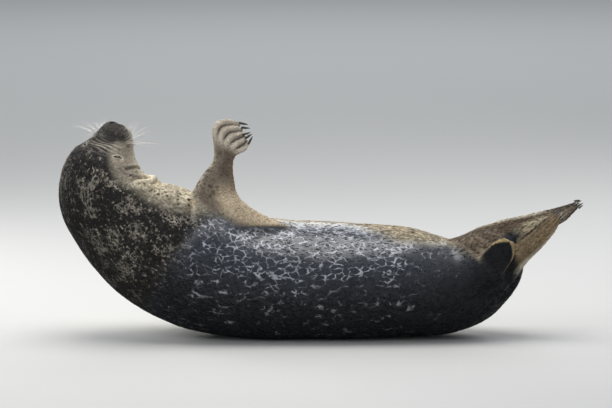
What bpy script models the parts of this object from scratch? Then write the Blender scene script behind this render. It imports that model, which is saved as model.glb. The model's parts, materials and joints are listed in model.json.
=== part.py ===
"""Harbor seal resting on its left side: a life-size still model.

The head and the hind flippers are raised off the floor, and the right foreflipper is held up.
Frame: +Z up, floor at Z = 0, +X from the head toward the hind flippers, -Y the side that the
back faces.  The body is one long loft along a curved spine, parted by thin cuts into head, neck,
chest, abdomen and pelvis.  Flippers and tail are flattened lofts whose roots are cut away by
the body, and each digit ends in a claw.
Sizes and places below are in millimetres and degrees; the meshes are in metres.
"""

import math

import bmesh
import bpy
import numpy as np
from mathutils import Matrix, Vector

MM = 0.001
GAP = 0.4                   # clearance between a solid and the one that it is fitted to
CUT = 0.36                  # width of the cuts that part the body
CREASE = math.radians(50)   # edges sharper than this are shaded as edges
RING_POINTS = 28            # points round one ring of the body
NOSE_CROWDING = 2.2         # how much the head's rings crowd toward the nose

# The spine, from the nose to the rump.  Each row: X and Z of the section's centre, half the
# body's breadth, depth toward the back, depth toward the belly, and how far the back is rolled
# from -Y toward the outer side of the spine's bend.
SPINE = np.array((
    (-562, 597, 8, 4, 20, 30),       # nose tip
    (-564, 590, 30, 14, 38, 30),
    (-566, 578, 42, 25, 44, 30),
    (-569, 559, 53, 31, 49, 30),     # whisker pads
    (-574, 541, 63, 46, 51, 30),
    (-581, 521, 78, 66, 60, 30),     # eyes
    (-588, 499, 98, 92, 68, 30),
    (-594, 474, 114, 108, 81, 30),
    (-597, 443, 128, 122, 108, 30),  # ears
    (-592, 410, 139, 133, 133, 30),  # nape
    (-556, 342, 147, 144, 148, 28),
    (-472, 269, 172, 166, 174, 25),  # shoulders
    (-361, 208, 179, 178, 188, 22),  # chest
    (-222, 168, 169, 182, 193, 20),
    (-56, 156, 160, 182, 193, 20),   # belly
    (111, 153, 156, 177, 185, 18),
    (236, 151, 149, 167, 174, 15),   # flanks
    (333, 142, 137, 152, 157, 10),   # hips
    (404, 156, 126, 136, 137, 5),
    (458, 194, 110, 115, 112, 0),
    (504, 230, 88, 84, 84, 0),
    (528, 249, 60, 58, 58, 0),
    (539, 258, 24, 22, 22, 0),       # between the ankles
), float)
LENGTHS = np.concatenate([[0], np.cumsum(np.hypot(*np.diff(SPINE[:, :2], axis=0).T))])
RUMP_END = float(LENGTHS[-1])

# Where the body is parted, as lengths along the spine from the nose, and the rings' spacing.
PARTS = (
    ("head", 0, 205, 11),
    ("neck", 205, 400, 20),
    ("chest", 400, 720, 30),
    ("abdomen", 720, 1060, 38),
    ("pelvis", 1060, RUMP_END, 30),
)

# Forms that stand out of the loft, or sink into it, on both sides: distance from the nose,
# angle from the middle of the back, reach along the body, reach round it, height.
FORMS = (
    (13, 66, 9, 34, 3),         # lobes beside the nose
    (0, 100, 6, 40, 12),        # lips and chin
    (34, 58, 18, 32, 4),        # whisker pads
    (67, 32, 13, 16, 4),        # brows
    (80, 50, 14, 16, -3),       # eye hollows
    (120, 105, 26, 32, 4),      # cheeks
    (128, 150, 6, 55, -7),      # crease under the jaw
    (142, 145, 8, 60, 4),       # throat roll
    (155, 150, 6, 60, -6),
    (176, 145, 12, 60, -2),     # neck below the rolls
)

# The eyes: distance from the nose, angle from the middle of the back, half sizes, and how far
# the middle is sunk.  The opening runs round the head, its outer end tilted toward the nose.
EYE_FROM_NOSE, EYE_ANGLE = 82, 46
EYE_LONG, EYE_DEEP, EYE_HIGH, EYE_SUNK = 15, 12, 12, 9.5
EYE_TILT = math.radians(-5)

# Limbs, from the root inside the body to the tip.  Each row: a point on the leading edge, a
# point on the trailing edge, thickness.
FORE_RIGHT = (
    ((-392, -45, 322), (-66, -45, 312), 112),    # a fold runs back from the armpit
    ((-378, -42, 362), (-166, -42, 352), 100),
    ((-358, -38, 406), (-224, -36, 396), 82),
    ((-327, -30, 455), (-238, -28, 444), 56),
    ((-298, -22, 494), (-241, -20, 480), 42),
    ((-295, -15, 533), (-236, -14, 502), 33),    # wrist
    ((-300, -8, 572), (-224, -8, 511), 25),
    ((-288, -2, 602), (-210, -4, 516), 18),
    ((-256, 4, 608), (-203, 0, 524), 12),
    ((-226, 10, 597), (-202, 6, 540), 8),
)
FORE_LEFT = (
    ((-395, 95, 95), (-285, 45, 95), 80),
    ((-370, 158, 62), (-282, 108, 62), 58),
    ((-338, 212, 34), (-262, 168, 34), 42),
    ((-306, 262, 16), (-236, 222, 15), 30),      # wrist
    ((-282, 312, 10), (-198, 264, 9), 20),
    ((-258, 352, 6), (-172, 302, 6), 13),
    ((-236, 372, 4), (-164, 330, 4), 9),
)
TAIL = (
    ((400, -80, 196), (467, -80, 112), 60),
    ((428, -98, 227), (494, -98, 163), 42),
    ((456, -108, 258), (517, -108, 206), 28),
    ((481, -113, 282), (536, -113, 240), 20),
    ((508, -114, 294), (539, -114, 277), 12),
)
# Hind limbs, whose soles face each other: centre, half the breadth, thickness.
HIND_LEFT = (
    ((417, -20, 120), 58, 100),
    ((470, -30, 158), 56, 94),
    ((515, -38, 197), 45, 68),                   # ankle
    ((553, -42, 236), 38, 42),
    ((594, -44, 275), 38, 24),
    ((630, -46, 312), 33, 14),
    ((656, -47, 339), 19, 8),
)
HIND_RIGHT = (
    ((404, 18, 196), 56, 90),
    ((450, 24, 246), 58, 92),
    ((504, 28, 279), 46, 64),                    # ankle
    ((560, 30, 299), 40, 38),
    ((619, 30, 317), 37, 22),
    ((672, 30, 337), 30, 13),
    ((711, 30, 361), 15, 7),
)
HIND_TURN = math.radians(45)                # turn of their breadth out of the XZ plane
LIMB_RINGS, LIMB_COLUMNS = 15, 11
TAIL_RINGS, TAIL_COLUMNS = 10, 8

# Digits: their places across the blade, 0 at the leading edge and 1 at the trailing edge.
FORE_DIGITS = (0.07, 0.3, 0.52, 0.73, 0.93)
HIND_DIGITS = (0.05, 0.29, 0.5, 0.71, 0.95)
DIGIT_SPREAD = 0.07         # half the breadth of a digit's rib, as a share of the blade
WEB_THINNING = 0.35         # how much thinner the web is than the digits
CLAW_ROOT = 0.4             # share of a claw that lies back of the digit's tip
CLAW_BOW = 0.28             # how far a claw bends down, as a share of its length
CLAW_TAPER = ((0, 1.0), (0.35, 0.92), (0.7, 0.6), (0.93, 0.26), (1, 0.1))
CLAW_SIDES = 6

DARK_FUR = (0.09, 0.09, 0.10)
PALE_FUR = (0.36, 0.31, 0.24)
CLAW_HORN = (0.03, 0.025, 0.02)
EYE_BLACK = (0.01, 0.008, 0.007)
FUR_ROUGHNESS, HORN_ROUGHNESS, EYE_ROUGHNESS = 0.6, 0.4, 0.08


def hermite(knots, values, at):
    """A smooth curve through values at rising knots, read at the places in at."""
    knots, values, at = (np.asarray(v, float) for v in (knots, values, at))
    step = np.diff(knots)
    rise = np.diff(values, axis=0) / step[:, None]
    inner = (rise[:-1] * step[1:, None] + rise[1:] * step[:-1, None]) / (step[:-1] + step[1:])[:, None]
    slope = np.vstack([rise[:1], inner, rise[-1:]])
    i = np.clip(np.searchsorted(knots, at, "right") - 1, 0, len(step) - 1)
    h = step[i][:, None]
    t = (at - knots[i])[:, None] / h
    return ((2 * t ** 3 - 3 * t ** 2 + 1) * values[i] + (t ** 3 - 2 * t ** 2 + t) * h * slope[i]
            + (3 * t ** 2 - 2 * t ** 3) * values[i + 1] + (t ** 3 - t ** 2) * h * slope[i + 1])


def unit(vector):
    """The vector's direction."""
    return np.asarray(vector, float) / np.linalg.norm(vector)


def section(s):
    """Centre, forward, up (toward the back) and right directions, and half sizes at s."""
    x, z, side, back, belly, roll = hermite(LENGTHS, SPINE, [s])[0]
    reach = min(max(0.3 * s, 2.0), 50.0)      # a section's tilt follows the spine's gentle run
    near, far = hermite(LENGTHS, SPINE[:, :2], [max(s - reach, 0), min(s + reach, RUMP_END)])
    forward = unit((near[0] - far[0], 0, near[1] - far[1]))
    outer = np.array((-forward[2], 0, forward[0]))
    turn = math.radians(roll)
    up = math.cos(turn) * np.array((0, -1, 0)) + math.sin(turn) * outer
    return np.array((x, 0, z)), forward, up, np.cross(forward, up), side, back, belly


def form_height(s, angle):
    """Height of the added forms at one place on the body."""
    turned = abs((angle + 180) % 360 - 180)
    return sum(height * math.exp(-((s - at) / reach) ** 2 - ((turned - around) / spread) ** 2)
               for at, around, reach, spread, height in FORMS)


def skin_point(s, angle):
    """A point of the body's surface, flattened where it would pass under the floor."""
    centre, _, up, right, side, back, belly = section(s)
    turn = math.radians(angle)
    depth = back if math.cos(turn) > 0 else belly
    out = right * side * math.sin(turn) + up * depth * math.cos(turn)
    point = centre + out * (1 + form_height(s, angle) / np.linalg.norm(out))
    return np.array((point[0], point[1], max(point[2], 0)))


def body_rings(start, end, spacing):
    """Rings of points of the body between two places along the spine."""
    count = round((end - start) / spacing)
    crowding = NOSE_CROWDING if start == 0 else 1
    places = [start + (end - start) * (k / count) ** crowding for k in range(count + 1)]
    return [[skin_point(max(s, 0.3), 360 * k / RING_POINTS) for k in range(RING_POINTS)] for s in places]


def parted(rings, start, end):
    """The rings of one part of the body, with half a cut's width taken off each cut end."""
    ends = [(k, s, sign) for k, s, sign in ((0, start, -1), (-1, end, 1)) if 0 < s < RUMP_END]
    rings = list(rings)
    for k, s, sign in ends:
        step = section(s)[1] * sign * CUT / 2
        rings[k] = [np.array((*(p + step)[:2], max(p[2] + step[2] * (p[2] > 0), 0))) for p in rings[k]]
    return rings


def closed_mesh(name, mesh):
    """Turn a bmesh into mesh data with its faces pointing out."""
    bmesh.ops.recalc_face_normals(mesh, faces=mesh.faces)
    data = bpy.data.meshes.new(name)
    mesh.to_mesh(data)
    mesh.free()
    return data


def loft(name, rings, thin=False):
    """A closed mesh through rings of points, capped by fans, or by strips where it is thin."""
    mesh = bmesh.new()
    loops = [[mesh.verts.new(Vector(p) * MM) for p in ring] for ring in rings]
    count = len(loops[0])
    for a, b in zip(loops, loops[1:]):
        for k in range(count):
            n = (k + 1) % count
            mesh.faces.new((a[k], a[n], b[n], b[k]))
    for loop in (loops[0], loops[-1]):
        if thin:
            for k in range(count // 2):
                corners = (loop[k], loop[k + 1], loop[-(k + 1) % count], loop[-k % count])
                mesh.faces.new(tuple(dict.fromkeys(corners)))
        else:
            middle = mesh.verts.new(sum((v.co for v in loop), Vector()) / count)
            for k in range(count):
                mesh.faces.new((loop[k], loop[(k + 1) % count], middle))
    return closed_mesh(name, mesh)


def edge_rows(rows):
    """Leading and trailing edges of a hind limb that is given by its centre line."""
    centres = np.array([centre for centre, _, _ in rows], float)
    result = []
    for centre, along, (_, half, thick) in zip(centres, np.gradient(centres, axis=0), rows):
        rise = unit((-along[2], 0, along[0]))
        across = (rise * math.cos(HIND_TURN) + np.array((0, 1, 0)) * math.sin(HIND_TURN)) * half
        result.append((centre + across, centre - across, thick))
    return result


def blade_rings(rows, count, columns, digits=(), reach=0.0):
    """Rings of a flattened limb; its digits stand out of both faces and reach past the web."""
    table = np.array([(*lead, *trail, thick) for lead, trail, thick in rows], float)
    places = np.linspace(0, 1, count)
    smooth = hermite(np.arange(len(rows)), table, places * (len(rows) - 1))
    run = np.gradient((smooth[:, :3] + smooth[:, 3:6]) / 2, axis=0)
    rings = []
    for part, row, along in zip(places, smooth, run):
        lead, across, forward = row[:3], row[3:6] - row[:3], unit(along)
        normal = unit(np.cross(across, forward))
        far, tip = max(part - 0.45, 0) / 0.55, max(part - 0.8, 0) / 0.2
        ring = []
        for j in range(2 * columns):
            turn = math.pi * j / columns
            v = (1 - math.cos(turn)) / 2
            rib = max([math.exp(-((v - digit) / DIGIT_SPREAD) ** 2) for digit in digits] or [1])
            half = row[6] / 2 * (1 - WEB_THINNING * far * (1 - rib))
            point = lead + across * v + forward * reach * rib * tip + normal * half * math.sin(turn)
            ring.append(np.array((point[0], point[1], max(point[2], 0))))
        rings.append(ring)
    return rings


def claw_rings(limb, digit, length, width):
    """Rings of the curved, tapering claw of one digit, from a root inside the digit's tip."""
    last, before = np.array(limb[-1]), np.array(limb[-3])
    j = round(LIMB_COLUMNS * math.acos(1 - 2 * digit) / math.pi)
    top, low = last[j], last[-j]
    aim, bow = unit(top + low - before[j] - before[-j]), unit(low - top)
    across = np.cross(aim, bow)
    root = (top + low) / 2 - aim * length * CLAW_ROOT - bow * 0.3 * np.linalg.norm(low - top)
    rings = []
    for part, size in CLAW_TAPER:
        middle = root + aim * length * part + bow * length * CLAW_BOW * part ** 2
        ring = [middle + width * size * (0.5 * across * math.cos(math.tau * k / CLAW_SIDES)
                                         + 0.62 * bow * math.sin(math.tau * k / CLAW_SIDES))
                for k in range(CLAW_SIDES)]
        rings.append([np.array((p[0], p[1], max(p[2], 0))) for p in ring])
    return rings


def eyeball(name, side):
    """An egg-shaped eyeball set in the head, side 1 for the right and -1 for the left."""
    s, angle = EYE_FROM_NOSE, side * EYE_ANGLE
    ahead = unit(skin_point(s - 3, angle) - skin_point(s + 3, angle))
    around = unit(skin_point(s, angle + 3 * side) - skin_point(s, angle - 3 * side))
    out = unit(np.cross(around, ahead) * side)
    slit = around * math.cos(EYE_TILT) - ahead * math.sin(EYE_TILT)
    centre = Vector(skin_point(s, angle) - out * EYE_SUNK)
    turn = Matrix((slit * EYE_LONG, np.cross(out, slit) * EYE_HIGH, out * EYE_DEEP)).transposed()
    mesh = bmesh.new()
    bmesh.ops.create_uvsphere(mesh, u_segments=14, v_segments=8, radius=1)
    for v in mesh.verts:
        v.co = (centre + turn @ v.co) * MM
    return closed_mesh(name, mesh)


def swollen(data, name):
    """A copy of a closed mesh with its surface moved outward by the gap between solids."""
    mesh = bmesh.new()
    mesh.from_mesh(data)
    mesh.normal_update()
    moves = [v.normal * min(v.calc_shell_factor(), 2) * GAP * MM for v in mesh.verts]
    for v, move in zip(mesh.verts, moves):
        v.co += move
    return closed_mesh(name, mesh)


def shelf(name):
    """A new collection in the scene."""
    group = bpy.data.collections.new(name)
    bpy.context.scene.collection.children.link(group)
    return group


def solid(data, group, colour, roughness):
    """An object for one part of the seal, with a plain finish."""
    item = bpy.data.objects.new(data.name, data)
    group.objects.link(item)
    finish = bpy.data.materials.new(data.name)
    finish.use_nodes = True
    shader = finish.node_tree.nodes["Principled BSDF"]
    shader.inputs["Base Color"].default_value = (*colour, 1)
    shader.inputs["Roughness"].default_value = roughness
    shader.inputs["Metallic"].default_value = 0.0
    data.materials.append(finish)
    data.shade_smooth()
    data.set_sharp_from_angle(angle=CREASE)
    return item


def cutter(data, group):
    """A hidden object that only takes room from others."""
    item = bpy.data.objects.new(data.name, data)
    group.objects.link(item)
    item.hide_render = True
    item.display_type = "WIRE"
    return item


def cut(item, tool):
    """Take the tool's volume from an object."""
    change = item.modifiers.new("room_for_" + tool.name, "BOOLEAN")
    change.object = tool
    change.operation = "DIFFERENCE"
    change.solver = "EXACT"


def add_body(seal, cutters):
    """The parts of the body; returns the room that the whole body takes."""
    whole = []
    for name, start, end, spacing in PARTS:
        rings = body_rings(start, end, spacing)
        solid(loft(name, parted(rings, start, end)), seal, DARK_FUR, FUR_ROUGHNESS)
        whole += rings[bool(whole):]
    return cutter(swollen(loft("body", whole), "body_room"), cutters)


def add_limb(name, rows, digits, reach, claw_size, seal, cutters, body_room):
    """One flipper with its five claws."""
    rings = blade_rings(rows, LIMB_RINGS, LIMB_COLUMNS, digits, reach)
    limb = solid(loft(name, rings, thin=True), seal, PALE_FUR, FUR_ROUGHNESS)
    cut(limb, body_room)
    limb_room = cutter(swollen(limb.data, name + "_room"), cutters)
    for number, digit in enumerate(digits, 1):
        rings_of_claw = claw_rings(rings, digit, *claw_size)
        claw = solid(loft(f"claw_{name}_{number}", rings_of_claw), seal, CLAW_HORN, HORN_ROUGHNESS)
        cut(claw, limb_room)


def centre_on_floor(items):
    """Shift every mesh so that the seal's box stands centred on the origin."""
    points = np.array([v.co for item in items if not item.hide_render for v in item.data.vertices])
    middle = (points.min(axis=0) + points.max(axis=0)) / 2
    for item in items:
        item.data.transform(Matrix.Translation((-middle[0], -middle[1], 0)))


def build():
    """Model the seal."""
    for item in list(bpy.data.objects):
        bpy.data.objects.remove(item, do_unlink=True)
    seal, cutters = shelf("harbor_seal"), shelf("cutters")
    body_room = add_body(seal, cutters)
    fore_claw, hind_claw = (30, 8.5), (17, 6)
    for name, rows, digits, reach, claw_size in (
            ("foreflipper_right", FORE_RIGHT, FORE_DIGITS, 11, fore_claw),
            ("foreflipper_left", FORE_LEFT, FORE_DIGITS, 9, fore_claw),
            ("hind_flipper_right", edge_rows(HIND_RIGHT), HIND_DIGITS, 12, hind_claw),
            ("hind_flipper_left", edge_rows(HIND_LEFT), HIND_DIGITS, 12, hind_claw)):
        add_limb(name, rows, digits, reach, claw_size, seal, cutters, body_room)
    tail = loft("tail", blade_rings(TAIL, TAIL_RINGS, TAIL_COLUMNS), thin=True)
    cut(solid(tail, seal, DARK_FUR, FUR_ROUGHNESS), body_room)
    for name, side in (("eye_right", 1), ("eye_left", -1)):
        eye = solid(eyeball(name, side), seal, EYE_BLACK, EYE_ROUGHNESS)
        cut(seal.objects["head"], cutter(swollen(eye.data, name + "_socket"), cutters))
    centre_on_floor(list(seal.objects) + list(cutters.objects))


build()
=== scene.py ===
"""Harbor seal resting on its left side: the dressed look of the life-size still model.

One skin covers the body, flippers and tail; over it lie the coat's tufts, the whiskers and the
brow hairs.  Eyes and claws are the model's own solids with finishes of their own.
Lengths are in metres and angles in degrees unless a table says otherwise.  Round the body,
0 is the middle of the back, 90 the right flank (on top here) and 180 the middle of the belly.
"""

import json
import math

import bmesh
import bpy
import numpy as np
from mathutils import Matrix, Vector
from mathutils.kdtree import KDTree

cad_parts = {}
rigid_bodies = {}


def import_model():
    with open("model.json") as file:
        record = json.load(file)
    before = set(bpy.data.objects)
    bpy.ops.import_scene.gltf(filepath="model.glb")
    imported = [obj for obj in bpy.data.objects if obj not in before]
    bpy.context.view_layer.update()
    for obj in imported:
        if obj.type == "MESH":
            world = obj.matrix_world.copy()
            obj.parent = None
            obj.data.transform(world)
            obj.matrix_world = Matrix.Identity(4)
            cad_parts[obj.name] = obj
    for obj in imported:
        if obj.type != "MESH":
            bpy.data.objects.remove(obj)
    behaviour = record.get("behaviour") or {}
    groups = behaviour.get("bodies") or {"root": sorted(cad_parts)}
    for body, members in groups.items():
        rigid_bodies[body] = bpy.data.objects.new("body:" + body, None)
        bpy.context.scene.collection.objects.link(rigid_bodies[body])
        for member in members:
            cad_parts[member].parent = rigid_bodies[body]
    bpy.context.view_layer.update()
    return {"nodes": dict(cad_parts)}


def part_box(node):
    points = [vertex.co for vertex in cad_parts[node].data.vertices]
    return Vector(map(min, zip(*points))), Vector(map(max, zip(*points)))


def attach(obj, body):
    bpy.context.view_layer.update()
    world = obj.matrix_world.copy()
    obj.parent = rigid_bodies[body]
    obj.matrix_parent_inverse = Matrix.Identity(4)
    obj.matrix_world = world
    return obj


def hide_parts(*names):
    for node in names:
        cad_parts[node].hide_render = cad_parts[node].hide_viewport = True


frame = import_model()
MM = 0.001

# The spine from the nose to the rump, in millimetres: X and Z of the section's centre, half
# breadth, depth toward the back, depth toward the belly, and the back's roll in degrees.
SPINE = np.array((
    (-562, 597, 8, 4, 20, 30),
    (-564, 590, 30, 14, 38, 30),
    (-566, 578, 42, 25, 44, 30),
    (-569, 559, 53, 31, 49, 30),
    (-574, 541, 63, 46, 51, 30),
    (-581, 521, 78, 66, 60, 30),
    (-588, 499, 98, 92, 68, 30),
    (-594, 474, 114, 108, 81, 30),
    (-597, 443, 128, 122, 108, 30),
    (-592, 410, 139, 133, 133, 30),
    (-556, 342, 147, 144, 148, 28),
    (-472, 269, 172, 166, 174, 25),
    (-361, 208, 179, 178, 188, 22),
    (-222, 168, 169, 182, 193, 20),
    (-56, 156, 160, 182, 193, 20),
    (111, 153, 156, 177, 185, 18),
    (236, 151, 149, 167, 174, 15),
    (333, 142, 137, 152, 157, 10),
    (404, 156, 126, 136, 137, 5),
    (458, 194, 110, 115, 112, 0),
    (504, 230, 88, 84, 84, 0),
    (528, 249, 60, 58, 58, 0),
    (539, 258, 24, 22, 22, 0),
), float)
SPINE[:, :5] *= MM
LENGTHS = np.concatenate([[0], np.cumsum(np.hypot(*np.diff(SPINE[:, :2], axis=0).T))])
RUMP_END = float(LENGTHS[-1])

# Forms on both sides: distance from the nose, angle from the middle of the back, reach along
# the body, reach round it, height (lengths in millimetres).
FORMS = (
    (13, 66, 9, 34, 3),         # lobes beside the nose
    (0, 100, 6, 40, 12),        # lips and chin
    (34, 58, 18, 32, 4),        # whisker pads
    (67, 32, 13, 16, 4),        # brows
    (80, 50, 14, 16, -3),       # eye hollows
    (120, 105, 26, 32, 4),      # cheeks
    (128, 150, 6, 55, -7),      # crease under the jaw
    (142, 145, 8, 60, 4),       # throat roll
    (155, 150, 6, 60, -6),
    (176, 145, 12, 60, -2),     # neck below the rolls
)

# Limbs from root to tip, in millimetres: leading edge, trailing edge, thickness.
FORE_RIGHT = (
    ((-392, -45, 322), (-66, -45, 312), 112),
    ((-378, -42, 362), (-166, -42, 352), 100),
    ((-358, -38, 406), (-224, -36, 396), 82),
    ((-327, -30, 455), (-238, -28, 444), 56),
    ((-298, -22, 494), (-241, -20, 480), 42),
    ((-295, -15, 533), (-236, -14, 502), 33),
    ((-300, -8, 572), (-224, -8, 511), 25),
    ((-288, -2, 602), (-210, -4, 516), 18),
    ((-256, 4, 608), (-203, 0, 524), 12),
    ((-226, 10, 597), (-202, 6, 540), 8),
)
FORE_LEFT = (
    ((-395, 95, 95), (-285, 45, 95), 80),
    ((-370, 158, 62), (-282, 108, 62), 58),
    ((-338, 212, 34), (-262, 168, 34), 42),
    ((-306, 262, 16), (-236, 222, 15), 30),
    ((-282, 312, 10), (-198, 264, 9), 20),
    ((-258, 352, 6), (-172, 302, 6), 13),
    ((-236, 372, 4), (-164, 330, 4), 9),
)
TAIL = (
    ((400, -80, 196), (467, -80, 112), 60),
    ((428, -98, 227), (494, -98, 163), 42),
    ((456, -108, 258), (517, -108, 206), 28),
    ((481, -113, 282), (536, -113, 240), 20),
    ((508, -114, 294), (539, -114, 277), 12),
)
# Hind limbs: centre, half breadth, thickness.
HIND_LEFT = (
    ((417, -20, 120), 58, 100),
    ((470, -30, 158), 56, 94),
    ((515, -38, 197), 45, 68),
    ((553, -42, 236), 38, 42),
    ((594, -44, 275), 38, 24),
    ((630, -46, 312), 33, 14),
    ((656, -47, 339), 19, 8),
)
HIND_RIGHT = (
    ((404, 18, 196), 56, 90),
    ((450, 24, 246), 58, 92),
    ((504, 28, 279), 46, 64),
    ((560, 30, 299), 40, 38),
    ((619, 30, 317), 37, 22),
    ((672, 30, 337), 30, 13),
    ((711, 30, 361), 15, 7),
)
HIND_TURN = 45
FORE_DIGITS = (0.07, 0.3, 0.52, 0.73, 0.93)
HIND_DIGITS = (0.05, 0.29, 0.5, 0.71, 0.95)
DIGIT_SPREAD, WEB_THINNING = 0.07, 0.35

# The eyes, as in the solids.
EYE_FROM_NOSE, EYE_ANGLE, EYE_TILT = 0.082, 46, -5
EYE_LONG, EYE_DEEP, EYE_HIGH, EYE_SUNK = 0.015, 0.012, 0.012, 0.0095


# ------------------------------------------------------------------ the body's own shape

def hermite(knots, values, at):
    """A smooth curve through values at rising knots, read at the places in at."""
    knots, values, at = (np.asarray(v, float) for v in (knots, values, at))
    step = np.diff(knots)
    rise = np.diff(values, axis=0) / step[:, None]
    inner = (rise[:-1] * step[1:, None] + rise[1:] * step[:-1, None]) / (step[:-1] + step[1:])[:, None]
    slope = np.vstack([rise[:1], inner, rise[-1:]])
    i = np.clip(np.searchsorted(knots, at, "right") - 1, 0, len(step) - 1)
    h = step[i][:, None]
    t = (at - knots[i])[:, None] / h
    return ((2 * t ** 3 - 3 * t ** 2 + 1) * values[i] + (t ** 3 - 2 * t ** 2 + t) * h * slope[i]
            + (3 * t ** 2 - 2 * t ** 3) * values[i + 1] + (t ** 3 - t ** 2) * h * slope[i + 1])


def unit(vectors):
    """Directions of one vector or of rows of vectors."""
    vectors = np.asarray(vectors, float)
    return vectors / np.maximum(np.linalg.norm(vectors, axis=-1, keepdims=True), 1e-12)


def smooth(value, low, high):
    """0 below low, 1 above high, and an even curve between them."""
    t = np.clip((np.asarray(value, float) - low) / (high - low), 0, 1)
    return t * t * (3 - 2 * t)


def hill(value, middle, reach):
    """A bell curve, 1 at the middle."""
    return np.exp(-((value - middle) / reach) ** 2)


def dot(a, b):
    """Products of two lists of vectors, row by row."""
    return np.einsum("ij,ij->i", a, b)


SECTION_STEP = 0.001


def section_table():
    """Every section along the spine: centre, forward, up, right, half sizes."""
    s = np.arange(0, RUMP_END + 2 * SECTION_STEP, SECTION_STEP)
    rows = hermite(LENGTHS, SPINE, s)
    # the spine's run is taken over a short stretch at the nose and a longer one further back
    reach = np.clip(0.3 * s, 0.002, 0.05)
    near, far = (hermite(LENGTHS, SPINE[:, :2], np.clip(s + way, 0, RUMP_END)) for way in (-reach, reach))
    zero = np.zeros(len(s))
    forward = unit(np.stack([near[:, 0] - far[:, 0], zero, near[:, 1] - far[:, 1]], 1))
    outer = np.stack([-forward[:, 2], zero, forward[:, 0]], 1)
    turn = np.radians(rows[:, 5:6])
    up = np.cos(turn) * np.array((0, -1, 0)) + np.sin(turn) * outer
    centre = np.stack([rows[:, 0], zero, rows[:, 1]], 1)
    return np.hstack([centre, forward, up, np.cross(forward, up), rows[:, 2:5]])


SECTIONS = section_table()


def sections(s):
    """Centre, forward, up, right, side, back and belly at lengths s."""
    at = np.clip(np.asarray(s, float), 0, RUMP_END) / SECTION_STEP
    i = np.minimum(at.astype(int), len(SECTIONS) - 2)
    w = (at - i)[:, None]
    row = SECTIONS[i] * (1 - w) + SECTIONS[i + 1] * w
    return row[:, :3], row[:, 3:6], row[:, 6:9], row[:, 9:12], row[:, 12], row[:, 13], row[:, 14]


def section_axes(s):
    """Centre, forward, up and right of the section at one length."""
    return SECTIONS[int(s / SECTION_STEP)][:12].reshape(4, 3)


def form_height(s, angle):
    """Height of the added forms at places on the body."""
    turned = np.abs((angle + 180) % 360 - 180)
    return MM * sum(height * hill(s, at * MM, reach * MM) * hill(turned, around, spread)
                    for at, around, reach, spread, height in FORMS)


def body_points(s, angle):
    """Points of the body's surface, flattened where they would pass under the floor."""
    s, angle = (np.asarray(v, float).ravel() for v in np.broadcast_arrays(s, angle))
    centre, _, up, right, side, back, belly = sections(s)
    turn = np.radians(angle)
    depth = np.where(np.cos(turn) > 0, back, belly)
    out = right * (side * np.sin(turn))[:, None] + up * (depth * np.cos(turn))[:, None]
    points = centre + out * (1 + form_height(s, angle) / np.linalg.norm(out, axis=1))[:, None]
    points[:, 2] = np.maximum(points[:, 2], 0)
    return points


FRAME_REACH, FRAME_TURN = 0.003, 3      # how far to both sides a direction on the body is taken


def frame_at(s, angle):
    """A point of the body with directions ahead, around (away from the back) and out."""
    side = 1 if angle >= 0 else -1
    turn = FRAME_TURN * side
    here = body_points([s], [angle])[0]
    ahead = unit(body_points([s - FRAME_REACH], [angle])[0] - body_points([s + FRAME_REACH], [angle])[0])
    around = unit(body_points([s], [angle + turn])[0] - body_points([s], [angle - turn])[0])
    out = unit(np.cross(around, ahead) * side)
    return here, ahead, around, out


def eye_frame(side):
    """Middle of an eyeball and directions along its slit, across it and out."""
    here, ahead, around, out = frame_at(EYE_FROM_NOSE, side * EYE_ANGLE)
    tilt = math.radians(EYE_TILT)
    slit = around * math.cos(tilt) - ahead * math.sin(tilt)
    return here - out * EYE_SUNK, slit, np.cross(out, slit), out


# The solids stand centred on the origin; this is how far they were moved for that.
low, high = (np.array(corner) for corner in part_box("eye_right"))
SHIFT = (low + high) / 2 - eye_frame(1)[0]
SHIFT[2] = 0


def hind_rows(rows):
    """Leading and trailing edges of a hind limb that is given by its centre line."""
    centres = np.array([centre for centre, _, _ in rows], float)
    turn = math.radians(HIND_TURN)
    result = []
    for centre, along, (_, half, thick) in zip(centres, np.gradient(centres, axis=0), rows):
        rise = unit((-along[2], 0, along[0]))
        across = (rise * math.cos(turn) + np.array((0, 1, 0)) * math.sin(turn)) * half
        result.append((centre + across, centre - across, thick))
    return result


def blade_rings(rows, count, columns, digits=(), reach=0.0):
    """Rings of a flattened limb, in metres, as an array of rings by points by axes."""
    table = np.array([(*lead, *trail, thick) for lead, trail, thick in rows], float) * MM
    places = np.linspace(0, 1, count)
    smoothed = hermite(np.arange(len(rows)), table, places * (len(rows) - 1))
    run = unit(np.gradient((smoothed[:, :3] + smoothed[:, 3:6]) / 2, axis=0))
    turn = np.pi * np.arange(2 * columns) / columns
    v = (1 - np.cos(turn)) / 2
    rib = np.max([hill(v, digit, DIGIT_SPREAD) for digit in digits] or [np.ones(len(v))], axis=0)
    lead, across = smoothed[:, :3], smoothed[:, 3:6] - smoothed[:, :3]
    normal = unit(np.cross(across, run))
    far, tip = np.maximum(places - 0.45, 0) / 0.55, np.maximum(places - 0.8, 0) / 0.2
    half = smoothed[:, 6:7] / 2 * (1 - WEB_THINNING * far[:, None] * (1 - rib))
    points = (lead[:, None] + across[:, None] * v[None, :, None]
              + run[:, None] * (reach * MM * rib * tip[:, None])[:, :, None]
              + normal[:, None] * (half * np.sin(turn))[:, :, None])
    points[..., 2] = np.maximum(points[..., 2], 0)
    return points


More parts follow.
